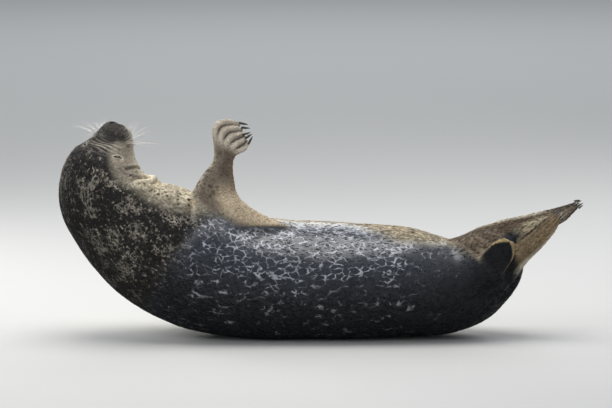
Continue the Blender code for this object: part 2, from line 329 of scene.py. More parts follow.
# Each limb: node, rows, digits, how far digits reach past the web, and its root's place on the
# spine, which the coat's pattern is measured from.
LIMBS = (
    ("foreflipper_right", FORE_RIGHT, FORE_DIGITS, 11, 0.55),
    ("foreflipper_left", FORE_LEFT, FORE_DIGITS, 9, 0.55),
    ("hind_flipper_right", hind_rows(HIND_RIGHT), HIND_DIGITS, 12, 1.40),
    ("hind_flipper_left", hind_rows(HIND_LEFT), HIND_DIGITS, 12, 1.38),
    ("tail", TAIL, (), 0, 1.38),
)
LIMB_RINGS = {name: blade_rings(rows, 72, 30, digits, reach) for name, rows, digits, reach, _ in LIMBS}


# ------------------------------------------------------------------ the skin

def grid_faces(rows, columns):
    """Quads of a tube of rings, each ring closed on itself."""
    k, i = np.meshgrid(np.arange(columns), np.arange(rows - 1))
    a, b = i * columns + k, i * columns + (k + 1) % columns
    return np.stack([a, b, b + columns, a + columns], -1).reshape(-1, 4)


def tube(rings, fanned):
    """Points and faces of a closed tube; its ends are fans, or strips where it is flat."""
    rows, columns = rings.shape[:2]
    points = rings.reshape(-1, 3)
    faces = [tuple(f) for f in grid_faces(rows, columns)]
    for start in (0, (rows - 1) * columns):
        if fanned:
            points = np.vstack([points, points[start:start + columns].mean(axis=0)])
            middle = len(points) - 1
            faces += [(start + k, start + (k + 1) % columns, middle) for k in range(columns)]
        else:
            for k in range(columns // 2):
                corners = (k, k + 1, -(k + 1) % columns, -k % columns)
                faces.append(tuple(start + c for c in dict.fromkeys(corners)))
    return points, faces


def mesh_of(name, points, faces):
    """Mesh data with its faces turned outward."""
    mesh = bpy.data.meshes.new(name)
    mesh.from_pydata(np.asarray(points).tolist(), [], faces)
    work = bmesh.new()
    work.from_mesh(mesh)
    bmesh.ops.recalc_face_normals(work, faces=work.faces)
    work.to_mesh(mesh)
    work.free()
    return mesh


def put(name, data):
    """A new object in the scene for a mesh, a light or a camera."""
    item = bpy.data.objects.new(name, data)
    bpy.context.scene.collection.objects.link(item)
    return item


def applied(item):
    """The object's mesh with its modifiers made real, and the modifiers gone."""
    graph = bpy.context.evaluated_depsgraph_get()
    mesh = bpy.data.meshes.new_from_object(item.evaluated_get(graph), depsgraph=graph)
    item.modifiers.clear()
    old = item.data
    item.data = mesh
    bpy.data.meshes.remove(old)
    return mesh


def fetched(items, key, width, kind=np.float32):
    """One property of many mesh items as rows."""
    flat = np.empty(len(items) * width, kind)
    items.foreach_get(key, flat)
    return flat.reshape(-1, width)


def places_of(mesh):
    """The mesh's vertex places."""
    return fetched(mesh.vertices, "co", 3).astype(float)


def normals_of(mesh):
    """The mesh's outward directions at its vertices."""
    return fetched(mesh.vertex_normals, "vector", 3).astype(float)


def edges_of(mesh):
    """The mesh's edges as pairs of vertex numbers."""
    return fetched(mesh.edges, "vertices", 2, np.int32)


def triangles_of(mesh):
    """The mesh's triangles as rows of vertex numbers."""
    return fetched(mesh.loops, "vertex_index", 1, np.int32).reshape(-1, 3)


def write(mesh, points):
    """Move the mesh's vertices."""
    mesh.vertices.foreach_set("co", np.asarray(points, np.float32).ravel())
    mesh.update()


def evened(values, edges, weight, times):
    """Values drawn toward their neighbours' mean, as strongly as the weights say."""
    values = np.array(values, float)
    a, b = np.concatenate([edges, edges[:, ::-1]]).T
    count = np.maximum(np.bincount(a, minlength=len(values)), 1)
    for _ in range(times):
        mean = np.stack([np.bincount(a, column, len(values)) for column in values[b].T], 1)
        values += (mean / count[:, None] - values) * weight[:, None]
    return values


def tree_of(points):
    """A tree that finds the nearest of the points."""
    tree = KDTree(len(points))
    for k, p in enumerate(points.tolist()):
        tree.insert(p, k)
    tree.balance()
    return tree


def nearest(tree, points):
    """Number and distance of the nearest tree point for each point."""
    found = [tree.find(p)[1:] for p in points.tolist()]
    return np.array([f[0] for f in found]), np.array([f[1] for f in found])


SAMPLE_S = np.concatenate([np.linspace(0.001, 0.1, 24), np.arange(0.108, RUMP_END, 0.008)])
SAMPLE_ANGLE = np.arange(-180, 180, 6.0)
SAMPLES = np.stack(np.meshgrid(SAMPLE_S, SAMPLE_ANGLE, indexing="ij"), -1).reshape(-1, 2)
BODY_TREE = tree_of(body_points(SAMPLES[:, 0], SAMPLES[:, 1]))
LIMB_TREES = {name: tree_of(rings.reshape(-1, 3)) for name, rings in LIMB_RINGS.items()}


SPINE_WALK = 8              # steps that find a point's section
LIMB_REACH = 0.012          # how far from a limb's own surface a point may lie
LIMB_BLEND = 0.02           # height above the body over which a limb's looks take over


class Places:
    """Where points lie on the seal: along the spine, round the body, and on which limb.

    s is the length from the nose, angle the place round the body, turned its size without a
    side, outside the height above the body's own surface, place s with two cross measures.
    On a limb, t runs from root to tip, v from the leading to the trailing edge, ring round it,
    face is +1 and -1 on its two faces, and mask says how much the limb counts.
    """

    def __init__(self, points):
        points = points - SHIFT
        self.raw = points
        found, _ = nearest(BODY_TREE, points)
        s = SAMPLES[found, 0].copy()
        # walk along the spine until the section at s passes through the point
        for _ in range(SPINE_WALK):
            centre, forward, *_ = sections(s)
            s = np.clip(s - 0.9 * dot(points - centre, forward), 0, RUMP_END)
        centre, forward, up, right, side, back, belly = sections(s)
        off = points - centre
        across, above = dot(off, right), dot(off, up)
        depth = np.where(above > 0, back, belly)
        self.s = s
        self.angle = np.degrees(np.arctan2(across / side, above / depth))
        self.turned = np.abs(self.angle)
        radius = np.hypot(across, above)
        ratio = np.hypot(across / side, above / depth)
        self.outside = radius - radius / np.maximum(ratio, 1e-6)
        self.place = np.stack([s, across, above], 1)
        self.back_axis = -forward
        self.limb = np.full(len(points), -1)
        self.t, self.v, self.face, self.ring, self.mask = np.zeros((5, len(points)))
        self.find_limbs(points)

    def find_limbs(self, points):
        """Fill in the places on the limbs."""
        best = np.full(len(points), LIMB_REACH)
        for number, (name, *_, root) in enumerate(LIMBS):
            rings = LIMB_RINGS[name]
            lo, hi = rings.min(axis=(0, 1)) - 0.02, rings.max(axis=(0, 1)) + 0.02
            near = np.flatnonzero(np.all((points > lo) & (points < hi), axis=1) & (self.outside > 0))
            if not len(near):
                continue
            index, distance = nearest(LIMB_TREES[name], points[near])
            better = distance < best[near]
            near, index, distance = near[better], index[better], distance[better]
            best[near] = distance
            count, columns = rings.shape[:2]
            row, column = index // columns, index % columns
            self.limb[near] = number
            middle = (rings[:, 0] + rings[:, columns // 2]) / 2
            run = np.gradient(middle, axis=0)
            chord = rings[row, columns // 2] - rings[row, 0]
            off = points[near] - middle[row]
            step = dot(off, run[row]) / dot(run[row], run[row])
            self.t[near] = np.clip((row + np.clip(step, -0.7, 0.7)) / (count - 1), 0, 1)
            self.ring[near] = column / columns
            self.v[near] = np.clip(dot(off, chord) / dot(chord, chord) + 0.5, 0, 1)
            self.face[near] = np.sin(2 * np.pi * column / columns)
            mask = smooth(self.outside[near], 0.0, LIMB_BLEND)
            self.mask[near] = mask
            centre, ahead, above, right = section_axes(root)
            off = points[near] - centre
            limb_place = np.stack([root - off @ ahead, off @ right, off @ above], 1)
            self.place[near] += (limb_place - self.place[near]) * mask[:, None]
        self.limb[self.mask <= 0] = -1

    def on(self, name):
        """How much each point belongs to a limb."""
        number = [limb[0] for limb in LIMBS].index(name)
        return np.where(self.limb == number, self.mask, 0)


def raw_skin():
    """Body and limbs as overlapping closed tubes in one mesh."""
    s = np.concatenate([np.linspace(0.0003, 0.06, 40)[:-1], np.arange(0.06, RUMP_END, 0.005), [RUMP_END]])
    angles = np.arange(0, 360, 1.5)
    rings = body_points(*np.meshgrid(s, angles, indexing="ij")).reshape(len(s), len(angles), 3)
    points, faces = tube(rings, True)
    for rings in LIMB_RINGS.values():
        more, more_faces = tube(rings, False)
        faces += [tuple(len(points) + k for k in face) for face in more_faces]
        points = np.vstack([points, more])
    return mesh_of("seal_skin", points + SHIFT, faces)


# Creases and ridges of the skin: points along the body and round it, half width and depth in
# millimetres (a ridge has a negative depth), and whether both sides have it.
CREASES = (
    (((0.012, 180), (0.019, 160), (0.030, 143), (0.046, 129), (0.066, 119), (0.088, 112)), 1.7, 2.6, True),
    (((0.110, 58), (0.102, 75), (0.099, 99), (0.113, 125), (0.127, 150), (0.127, 180)), 4.0, 4.6, True),
    (((0.129, 62), (0.121, 80), (0.129, 107), (0.135, 137), (0.141, 160), (0.141, 180)), 8.0, -2.6, True),
    (((0.147, 69), (0.141, 85), (0.158, 115), (0.157, 150), (0.156, 180)), 4.0, 4.4, True),
    (((0.162, 74), (0.163, 86), (0.184, 108), (0.187, 140), (0.188, 180)), 11.0, -2.8, True),
    (((0.172, 75), (0.188, 88), (0.225, 101), (0.235, 130), (0.238, 180)), 7.0, 3.0, True),
    (((0.205, 92), (0.262, 112), (0.285, 140), (0.290, 180)), 9.0, 2.5, True),
    (((1.372, -20), (1.323, -14), (1.270, -10)), 9.0, 4.0, False),
    (((1.420, -66), (1.375, -55), (1.320, -50)), 10.0, 4.5, False),
    (((1.352, 66), (1.362, 40), (1.366, 18)), 8.0, 4.0, False),
    (((0.445, 62), (0.425, 84), (0.420, 105)), 8.0, 3.0, True),
)
# Short folds across the bridge of the muzzle and over the brows: distance from the nose, angle
# at the middle, half length round the head in degrees.
BRIDGE_FOLDS = ((0.047, 4, 34), (0.054, 0, 30), (0.061, 6, 34), (0.068, 2, 30),
                (0.075, 8, 24), (0.083, 4, 20))
FOLD_CREST = 0.0036                                  # from a fold's groove to its crest

NOSTRIL = np.array(((0.0045, -0.0075), (0.0150, 0.0085)))    # right and up of the nose's middle
EAR = (0.128, 68)                                   # small hollow with no flap
EAR_REACH, EYE_REACH, NOSE_REACH = 0.04, 0.035, 0.030
# The eye's slit: half its length, half its opening, the lids' thickness and their curve.
SLIT_HALF, OPENING, LID_DEPTH, LID_BOW = 0.0122, 0.0033, 0.0014, 0.0006
FINEST_CELL = 0.0026
SKIN_CELL = FINEST_CELL
SKIN_TRIANGLES = 192000
# The whisker pad: its rows, its front, the angle of its top row and of each further row.
PAD_ROWS, PAD_FRONT, PAD_TOP, PAD_TURN = 6, 0.016, 50, 11
FACE_END = 0.128                                    # the face has a finer mesh up to here
NECK_END = 0.26                                     # and the neck a finer one than the trunk
ROOT_REACH = 0.026                                  # how far a limb's junction is softened
EVEN_PASSES = 60                                    # how often a junction is evened
FLOOR_TOUCH, SKIN_CLEAR = 0.0004, 0.0006            # heights of a resting point before and after
BODY_FUR, SHORT_FUR = 0.0016, 0.0008                # depth of the coat
NOSE, NOSE_FORWARD, NOSE_UP, NOSE_RIGHT = section_axes(0)


def on_nose(raw, side):
    """Points as seen from the front of the nose: toward one side, and up."""
    return np.stack([(raw - NOSE) @ NOSE_RIGHT * side, (raw - NOSE) @ NOSE_UP], 1)


def crease_path(line, side):
    """A crease drawn finely: its lengths from the nose, and its points."""
    knots = np.array(line)
    fine = hermite(np.arange(len(knots)), knots, np.linspace(0, len(knots) - 1, 24))
    return fine[:, 0], body_points(fine[:, 0], fine[:, 1] * side)


def fold_line(s0, angle):
    """Where a fold across the muzzle runs, as a length from the nose at each angle."""
    return s0 + 0.0022 * np.sin(np.radians(angle * 5 + s0 * 9000))


def half_open(a):
    """Half the eye's opening at places along the slit."""
    return OPENING * np.sqrt(np.clip(1 - (a / SLIT_HALF) ** 2, 0, 1))


def whisker_places(side):
    """Row, step, length from the nose and angle of every whisker on one pad."""
    for row in range(PAD_ROWS):
        for step in range(7 - row // 3):
            s = PAD_FRONT + 0.0055 * step + 0.0012 * row
            yield row, step, s, side * (PAD_TOP + PAD_TURN * row)


def line_distance(points, line):
    """Distance of points from a broken line, and how far along it, 0 to 1."""
    best, along = np.full(len(points), 9.0), np.zeros(len(points))
    for k in range(len(line) - 1):
        a, d = line[k], line[k + 1] - line[k]
        t = np.clip(((points - a) @ d) / (d @ d), 0, 1)
        gap = np.linalg.norm(points - (a + t[:, None] * d), axis=1)
        closer = gap < best
        best[closer], along[closer] = gap[closer], (k + t[closer]) / (len(line) - 1)
    return best, along


def crease_moves(at):
    """How far the skin is sunk by all its creases."""
    move = np.zeros(len(at.s))
    for line, half, depth, both in CREASES:
        for side in (1, -1) if both else (1,):
            reach, path = crease_path(line, side)
            near = np.flatnonzero((at.s > reach.min() - 0.03) & (at.s < reach.max() + 0.03))
            gap, along = line_distance(at.raw[near], path)
            ends = smooth(along, 0, 0.12) * (1 if line[-1][1] == 180 else smooth(-along, -1, -0.88))
            half_m = half * MM
            groove = hill(gap, 0, half_m) - 0.45 * hill(gap, 2.2 * half_m, half_m)
            move[near] -= depth * MM * groove * ends * (1 - at.mask[near])
    return move


def body_folds(at):
    """Soft unevenness of blubber and folds of the loose skin, as heights."""
    s, angle = at.s, np.radians(at.angle)
    x, y, z = at.place.T
    lumps = (np.sin(31 * x + 9 * y + 1.3) * np.sin(27 * z - 7 * x + 0.4) * 1.3
             + np.sin(58 * x - 33 * z + 2.1) * np.sin(49 * y + 21 * x) * 0.6)
    trunk = smooth(s, 0.3, 0.5)
    neck = hill(s, 0.30, 0.10) * smooth(at.turned, 95, 140)
    rolls = np.sin(s * 2 * np.pi / 0.045 + 1.1 * np.sin(2 * angle)) * 0.7 * neck
    bend = hill(s, 0.27, 0.09) * smooth(-at.turned, -60, -20)
    stretch = np.sin(s * 2 * np.pi / 0.041 + 1.1 * np.sin(5 * angle)) * 0.35 * bend
    return MM * (lumps * (0.25 + 0.75 * trunk) + rolls + stretch) * (1 - at.mask)


def limb_folds(at):
    """Grooves between digits, knuckles and wrinkles at the wrists, as heights."""
    move = np.zeros(len(at.s))
    for name, _, digits, _, _ in LIMBS:
        on = at.on(name)
        here = np.flatnonzero(on > 0)
        if not len(here):
            continue
        t, v, weight = at.t[here], at.v[here], on[here]
        if digits:
            rib = np.max([hill(v, digit, 0.085) for digit in digits], axis=0)
            edge = smooth(v, 0.02, 0.1) * smooth(-v, -0.98, -0.9)
            fore = name.startswith("fore")
            start, deep = (0.55, 2.6) if fore else (0.45, 1.5)
            spread = smooth(t, start, 0.8)
            move[here] += MM * ((rib - 1) * deep * edge + rib * 0.5) * spread * weight
            for knuckle in ((0.66, 0.76, 0.87) if fore else (0.72, 0.84)):
                move[here] += MM * 0.5 * hill(t, knuckle, 0.018) * rib * weight
            for wrinkle, deep, wide in ((0.52, 0.5, 0.012), (0.47, 0.4, 0.01)):
                move[here] -= MM * deep * hill(t, wrinkle, wide) * edge * weight
        else:
            move[here] += MM * 0.5 * np.sin(v * 21) * smooth(t, 0.2, 0.8) * weight
    return move


def nose_moves(flat, forth):
    """Reach forward of the skin at one nostril and at the groove between the pad's halves."""
    gap, along = line_distance(flat, NOSTRIL)
    top = smooth(forth, -0.022, -0.012)
    slit = hill(gap, 0, 0.0019 + 0.0007 * along.mean())
    rim = hill(gap, 0.0046, 0.0018) * smooth(flat[:, 0] - 0.009, -0.004, 0.004)
    groove = hill(flat[:, 0], 0, 0.0012) * smooth(-flat[:, 1], -0.004, 0.004)
    return (-0.0062 * slit + 0.0012 * rim - 0.0007 * groove) * top


def lid_moves(a, b, c):
    """Reach outward of the skin at one eye: it wraps the ball and leaves a narrow opening."""
    inside = (a / EYE_LONG) ** 2 + (b / EYE_HIGH) ** 2
    ball = EYE_DEEP * np.sqrt(np.clip(1 - inside, 0, 1))
    over = ball + LID_DEPTH - c
    lift = (over + np.sqrt(over ** 2 + 0.0012 ** 2)) / 2 * (inside < 1.3)
    gap_from = np.abs(b - LID_BOW * (1 - (a / SLIT_HALF) ** 2)) - half_open(a)
    opened = smooth(-gap_from, -0.0005, 0.0006) * (np.abs(a) < SLIT_HALF)
    rim = hill(gap_from, 0.0013, 0.0010) * smooth(-np.abs(a), -SLIT_HALF * 1.15, -SLIT_HALF * 0.9)
    fold = hill(gap_from, 0.0060, 0.0013) * hill(a, 0, SLIT_HALF * 1.2)
    return lift + (ball - LID_DEPTH - c - lift) * opened + 0.0006 * rim - 0.0012 * fold


def face_moves(at, normals):
    """Moves of the skin for lids, nostrils, whisker pads, ears and the brow's wrinkles."""
    move = np.zeros((len(at.s), 3))
    head = (at.s < 0.2) & (at.mask <= 0)
    s, angle, raw = at.s, at.angle, at.raw
    for s0, middle, half in BRIDGE_FOLDS:
        wave = fold_line(s0, angle)
        band = hill(s, wave, 0.0019) - 0.6 * hill(s, wave + FOLD_CREST, 0.0017)
        move += normals * (-0.0011 * band * hill(angle, middle, half) * head)[:, None]
    for side in (1, -1):
        # rows of small pits for the whiskers, each on its own swelling
        for _, _, s0, around in whisker_places(side):
            near = np.flatnonzero((np.abs(s - s0) < 0.02) & head)
            gap = np.linalg.norm(raw[near] - body_points([s0], [around])[0], axis=1)
            pad = 0.0005 * hill(gap, 0.0022, 0.0010) - 0.0006 * hill(gap, 0, 0.0010)
            move[near] += normals[near] * pad[:, None]
        here, ahead, around, out = frame_at(EAR[0], side * EAR[1])
        near = np.flatnonzero((np.abs(s - EAR[0]) < EAR_REACH) & head)
        off = raw[near] - here
        a, b = off @ (ahead * 0.8 + around * 0.6), off @ (around * 0.8 - ahead * 0.6)
        pit = np.exp(-(a / 0.0042) ** 2 - (b / 0.0020) ** 2)
        rim = np.exp(-((np.hypot(a / 0.0070, b / 0.0042) - 1) / 0.35) ** 2)
        move[near] += normals[near] * (0.0005 * rim - 0.0042 * pit)[:, None]
        near = np.flatnonzero((s < NOSE_REACH) & head)
        forth = (raw[near] - NOSE) @ NOSE_FORWARD
        move[near] += NOSE_FORWARD * nose_moves(on_nose(raw[near], side), forth)[:, None]
        middle, slit_way, across, out = eye_frame(side)
        near = np.flatnonzero((np.abs(s - EYE_FROM_NOSE) < EYE_REACH) & head)
        off = raw[near] - middle
        move[near] += out * lid_moves(off @ slit_way, off @ across, off @ out)[:, None]
    return move


def fused_skin(item):
    """The tubes made one surface, with soft junctions and the body's folds."""
    fuse = item.modifiers.new("fuse", "REMESH")
    fuse.mode, fuse.voxel_size = "VOXEL", SKIN_CELL
    mesh = applied(item)
    points, edges = places_of(mesh), edges_of(mesh)
    at = Places(points)
    _, gap = nearest(LIMB_CLOUD, points - SHIFT)
    root = hill(at.outside, 0, ROOT_REACH) * hill(gap, 0, ROOT_REACH)
    rump = smooth(at.s, RUMP_END - 0.05, RUMP_END)
    passes = round(EVEN_PASSES * (FINEST_CELL / SKIN_CELL) ** 2)
    weight = np.clip(root * 0.9 + 0.12 + rump * 0.4, 0, 0.9)
    weight *= np.where(at.limb >= 0, np.where(at.t > 0.35, 0.25, 1), 1)
    soft = evened(points, edges, np.where(root + rump > 0.15, weight, 0), passes)
    soft = evened(soft, edges, np.full(len(points), 0.3), 3)
    resting = points[:, 2] < FLOOR_TOUCH
    soft[:, 2] = np.where(resting, points[:, 2], soft[:, 2])
    write(mesh, soft)
    at = Places(soft)
    rise = crease_moves(at) + body_folds(at) + limb_folds(at)
    write(mesh, soft + normals_of(mesh) * rise[:, None])
    return mesh


def refine_face(mesh):
    """Halve the face's edges, so that lids and nostrils have enough points."""
    at = Places(places_of(mesh))
    fine = (at.s < FACE_END) & (at.mask <= 0)
    work = bmesh.new()
    work.from_mesh(mesh)
    work.verts.ensure_lookup_table()
    chosen = [e for e in work.edges if fine[e.verts[0].index] and fine[e.verts[1].index]]
    bmesh.ops.subdivide_edges(work, edges=chosen, cuts=1, use_grid_fill=True, smooth=0)
    bmesh.ops.triangulate(work, faces=work.faces)
    work.to_mesh(mesh)
    work.free()


def thinned(item, mesh, at):
    """The skin with fewer triangles away from the face and the limbs."""
    keep = item.vertex_groups.new(name="detail")
    detail = np.where(at.s < FACE_END, 1.0, np.where(at.s < NECK_END, 0.35, 0.12))
    detail = np.maximum(detail, np.where(at.mask > 0, np.where(at.t > 0.3, 0.5, 0.3), 0))
    for level in np.unique(np.round(detail, 2)):
        keep.add(np.flatnonzero(np.abs(detail - level) < 0.006).tolist(), float(level), "REPLACE")
    thin = item.modifiers.new("thin", "DECIMATE")
    thin.ratio = min(1, SKIN_TRIANGLES / len(mesh.polygons))
    thin.vertex_group, thin.vertex_group_factor = "detail", 1.0
    thin.invert_vertex_group = True
    mesh = applied(item)
    item.vertex_groups.clear()
    return mesh


def skin():
    """The whole skin: tubes fused, junctions softened, folds added and sunk by the coat's depth."""
    item = put("seal_skin", raw_skin())
    mesh = fused_skin(item)
    refine_face(mesh)
    points, edges = places_of(mesh), edges_of(mesh)
    at = Places(points)
    face = smooth(-at.s, -FACE_END - 0.012, -FACE_END + 0.02) * (at.mask <= 0) * 0.4
    points = evened(points, edges, face, 2)
    write(mesh, points)
    at = Places(points)
    points = points + face_moves(at, normals_of(mesh))
    write(mesh, points)

    depth = BODY_FUR + (SHORT_FUR - BODY_FUR) * np.maximum(at.mask, smooth(-at.s, -0.22, -0.08))
    points = points - normals_of(mesh) * depth[:, None]
    points[:, 2] = np.maximum(points[:, 2], SKIN_CLEAR)
    write(mesh, points)
    thinned(item, mesh, at).shade_smooth()
    return item


LIMB_CLOUD = tree_of(np.vstack([rings[::3, ::2].reshape(-1, 3) for rings in LIMB_RINGS.values()]))


# ------------------------------------------------------------------ colours by place

# Colours of the coat's ground and of the marks on it.
BLACK_FUR = (0.017, 0.0155, 0.0145)
SLATE_FUR = (0.029, 0.034, 0.046)
JET_FUR = (0.0055, 0.006, 0.0075)
# Painted sheen: the top of the wet trunk lightened as if it reflected the sky.
PAINTED_SHEEN_GREY = (0.40, 0.40, 0.42)
# Painted light below the armpit fold, laid over the shadow the fold casts.
PAINTED_LIGHT_GREY = (0.34, 0.35, 0.38)
CREAM_FUR = (0.60, 0.54, 0.415)
FACE_FUR = (0.255, 0.22, 0.178)
MUZZLE_FUR = (0.050, 0.044, 0.040)
LIP_FUR = (0.42, 0.37, 0.29)
SAND_FUR = (0.33, 0.27, 0.18)
HAUNCH_FUR = (0.130, 0.100, 0.070)
STONE_FUR = (0.32, 0.29, 0.24)
SILVER_FUR = (0.36, 0.375, 0.42)
# Painted light: the net's lines below the armpit fold.
PAINTED_LIGHT_LINE = (0.64, 0.65, 0.69)
BROWN_FUR = (0.045, 0.032, 0.022)
PALE_LID = (0.56, 0.50, 0.42)
NOSE_SKIN = (0.018, 0.017, 0.017)
# The foreflipper from the arm to the fingers, then the hind limbs and the tail's rim.
# The arm's darker middle is painted shade and its pale leading edge a painted highlight.
ARM_FUR, ARM_PAINTED_SHADE, ARM_RUST = (0.165, 0.135, 0.102), (0.075, 0.056, 0.040), (0.22, 0.115, 0.055)
ARMPIT_FUR, ARM_PAINTED_HIGHLIGHT = (0.47, 0.385, 0.275), (0.42, 0.37, 0.30)
# The fingers' paler crests are a painted highlight and the dark lines between them painted shade.
HAND_FUR, FINGER_PAINTED_HIGHLIGHT, DIGIT_GAP_PAINTED_SHADE = (0.50, 0.44, 0.355), (0.66, 0.59, 0.49), (0.035, 0.024, 0.018)
HIND_FUR, HIND_END, HIND_SOLE = (0.095, 0.066, 0.042), (0.05, 0.04, 0.03), (0.16, 0.115, 0.065)
TAIL_RIM = (0.34, 0.26, 0.13)
# Painted shade in the skin's creases; the ridges between them are painted a fifth lighter.
CREASE_PAINTED_SHADE = (0.36, 0.42, 0.50)       # how much of each colour a full crease takes away

# Where the wet part begins above, and where the pale underside begins: pairs of a length from
# the nose and a turn from the middle of the back.
WET_LINE = np.array((
    (0.40, -60), (0.441, 34), (0.467, 61), (0.517, 84), (0.60, 100), (0.72, 117), (0.81, 113),
    (0.93, 117), (0.979, 110), (1.04, 90), (1.089, 76), (1.15, 80), (1.22, 86), (1.26, 86),
    (1.30, 62), (1.333, 34), (1.37, 12), (1.45, -10)))
PALE_LINE = np.array((
    (0, 100), (0.032, 92), (0.044, 56), (0.056, 32), (0.074, 30), (0.09, 38), (0.11, 44), (0.15, 56),
    (0.20, 70), (0.28, 76), (0.37, 76), (0.45, 84), (0.52, 90), (0.60, 102), (0.80, 110),
    (0.95, 112), (1.04, 92), (1.09, 78), (1.15, 82), (1.26, 84), (1.30, 76), (1.327, 62),
    (1.337, 42), (1.35, 28), (1.425, 24), (1.438, 70), (1.449, 100)))


def layered(base, *layers):
    """Rows of colour with further colours laid over them, each by its share."""
    for over, share in layers:
        share = np.asarray(share)[:, None]
        base = base * (1 - share) + np.asarray(over) * share
    return base


class Markings:
    """Colours and shares of pattern at each point of the skin.

    Patterns: rings are the trunk's net of pale lines, flecks the neck's speckle, and spots the
    dark marks on pale fur.
    """

    def __init__(self, at):
        self.colour_body(at)
        self.colour_face(at)
        # Painted shade in the creases and painted light on the ridges, following the skin's own folds.
        sunk = crease_moves(at) / 0.003
        shade = np.clip(-sunk, 0, 1)[:, None] * CREASE_PAINTED_SHADE
        self.ground = self.ground * (1 - shade) * (1 + 0.2 * np.clip(sunk, 0, 1)[:, None])
        self.colour_limbs(at)
        self.colours = {"ground": self.ground, "mark": self.mark}
        self.shares = {"wet": np.clip(self.wet, 0, 1), "rings": self.rings, "flecks": self.flecks,
                       "spots": self.spots}

    def lay(self, *layers):
        """Lay colours over the ground."""
        self.ground = layered(self.ground, *layers)

    def colour_body(self, at):
        """Dark back, wet trunk, pale underside and their patterns, with a painted sheen along the top of
        the wet trunk, painted light below the armpit fold and painted shade toward the floor.
        """
        s, angle, turned = at.s, at.angle, at.turned
        wet_line = np.interp(s, *WET_LINE.T)
        pale_line = np.interp(s, *PALE_LINE.T)
        wet = smooth(wet_line - angle, -5, 7) * smooth(angle, -172, -150) * smooth(s, 0.43, 0.46)
        wet = wet * (1 - at.mask)
        # the left side stays dark further round at the face and at the rump
        pale_line = pale_line + 44 * hill(s, 0.080, 0.045) * (angle < 0)
        pale_line = np.where((angle < 0) & (s > 1.2), np.maximum(pale_line, 90), pale_line)
        pale_line = pale_line + 9 * np.sin(np.radians(9 * angle)) * hill(s, 0.046, 0.014)
        pale = smooth((turned - pale_line) / (1 + 1.3 * hill(s, 0.044, 0.018)), -16, 14)
        trunk = smooth(s, 0.42, 0.50)
        fore, rump = 1 - trunk, smooth(s, 1.05, 1.27)
        # low is the side toward the floor: its darker trunk and thinner net are partly the back's own dark
        # colour, partly painted shade.
        low = smooth(-angle, -62, 12) * smooth(angle, -178, -120)
        muzzle = smooth(-(s + 0.012 * smooth(angle, 20, 75)), -0.064, -0.022)
        # A painted sheen: a band along the top of the wet trunk, lightened as if it reflected the sky.
        sheen = smooth(angle - wet_line, -30, -8) * smooth(wet_line - angle, -4, 4)
        sheen = sheen * hill(s, 0.70, 0.17) * (angle > 0)
        cheek = pale * (1 - muzzle) * smooth(-s, -0.175, -0.125) * smooth(-turned, -118, -62)
        # Painted light below the armpit fold, where the fold's shadow falls on the trunk.
        under_arm_painted_light = hill(s, 0.71, 0.085) * hill(angle, 85, 9)

        self.ground = layered(
            np.ones((len(s), 1)) * BLACK_FUR,
            (SLATE_FUR, trunk * (1 - 0.25 * rump)),
            # darker toward the floor: partly the back's own dark colour, partly painted shade
            (JET_FUR, trunk * low * 0.92),
            (JET_FUR, fore * smooth(-angle, 12, 48) * 0.5),
            (MUZZLE_FUR, muzzle * smooth(-turned, -100, -72)),
            # painted sheen along the top of the wet trunk
            (PAINTED_SHEEN_GREY, sheen * 0.5),
            (CREAM_FUR, pale * (1 - muzzle)),
            (LIP_FUR, pale * muzzle),
            (FACE_FUR, cheek),
            (SAND_FUR, pale * (0.2 * hill(s, 0.34, 0.13) + 0.8 * smooth(s, 0.68, 1.0))),
            (HAUNCH_FUR, pale * smooth(s, 1.24, 1.31) * smooth(-turned, -125, -95)),
            # painted light below the armpit fold
            (PAINTED_LIGHT_GREY, under_arm_painted_light * 0.45))

        # the throat's edge is mottled: pale flecks before it, dark spots beyond it
        beyond = smooth(turned - pale_line, -7, 5) * fore * smooth(s, 0.13, 0.19)
        border = hill(turned, pale_line + 9, 20) * fore * smooth(s, 0.12, 0.19)
        edge = hill(turned, pale_line - 6, 20) * fore * smooth(s, 0.10, 0.2)
        self.mark = layered(
            np.ones((len(s), 1)) * STONE_FUR,
            (SILVER_FUR, trunk * wet),
            # painted light on the net's lines below the armpit fold
            (PAINTED_LIGHT_LINE, under_arm_painted_light),
            (BROWN_FUR, np.maximum(pale * (1 - border), beyond)))
        self.rings = trunk * (1 - pale) * (1 - 0.88 * rump) * (1 - 0.62 * low)
        flecks = fore * (1 - pale) * smooth(s, 0.052, 0.085)
        flecks = flecks * (0.25 + 0.75 * smooth(angle, -38, 12)) + 0.6 * edge * (1 - beyond)
        self.flecks = flecks * (1 - muzzle) + 0.5 * muzzle * (1 - pale) * smooth(s, 0.012, 0.034)
        spots = 0.20 + 0.34 * cheek + 0.25 * smooth(s, 0.16, 0.26) + 0.55 * hill(s, 0.048, 0.014)
        spots = pale * (spots + 0.62 * smooth(s, 0.62, 1.0))
        self.spots = np.maximum(spots, 0.85 * border * beyond)
        self.wet, self.low = wet, low

    def colour_face(self, at):
        """Pale brow, folds with painted shade in their grooves and painted highlights on their crests, eye
        rings, nostrils, nose pad and lips.
        """
        s, angle = at.s, at.angle
        self.lay((STONE_FUR, hill(s, 0.064, 0.011) * hill(angle, 6, 24) * 0.22))
        for s0, middle, half in BRIDGE_FOLDS:
            wave = fold_line(s0, angle)
            strong = hill(angle, middle, half) * hill(s0, 0.065, 0.012)
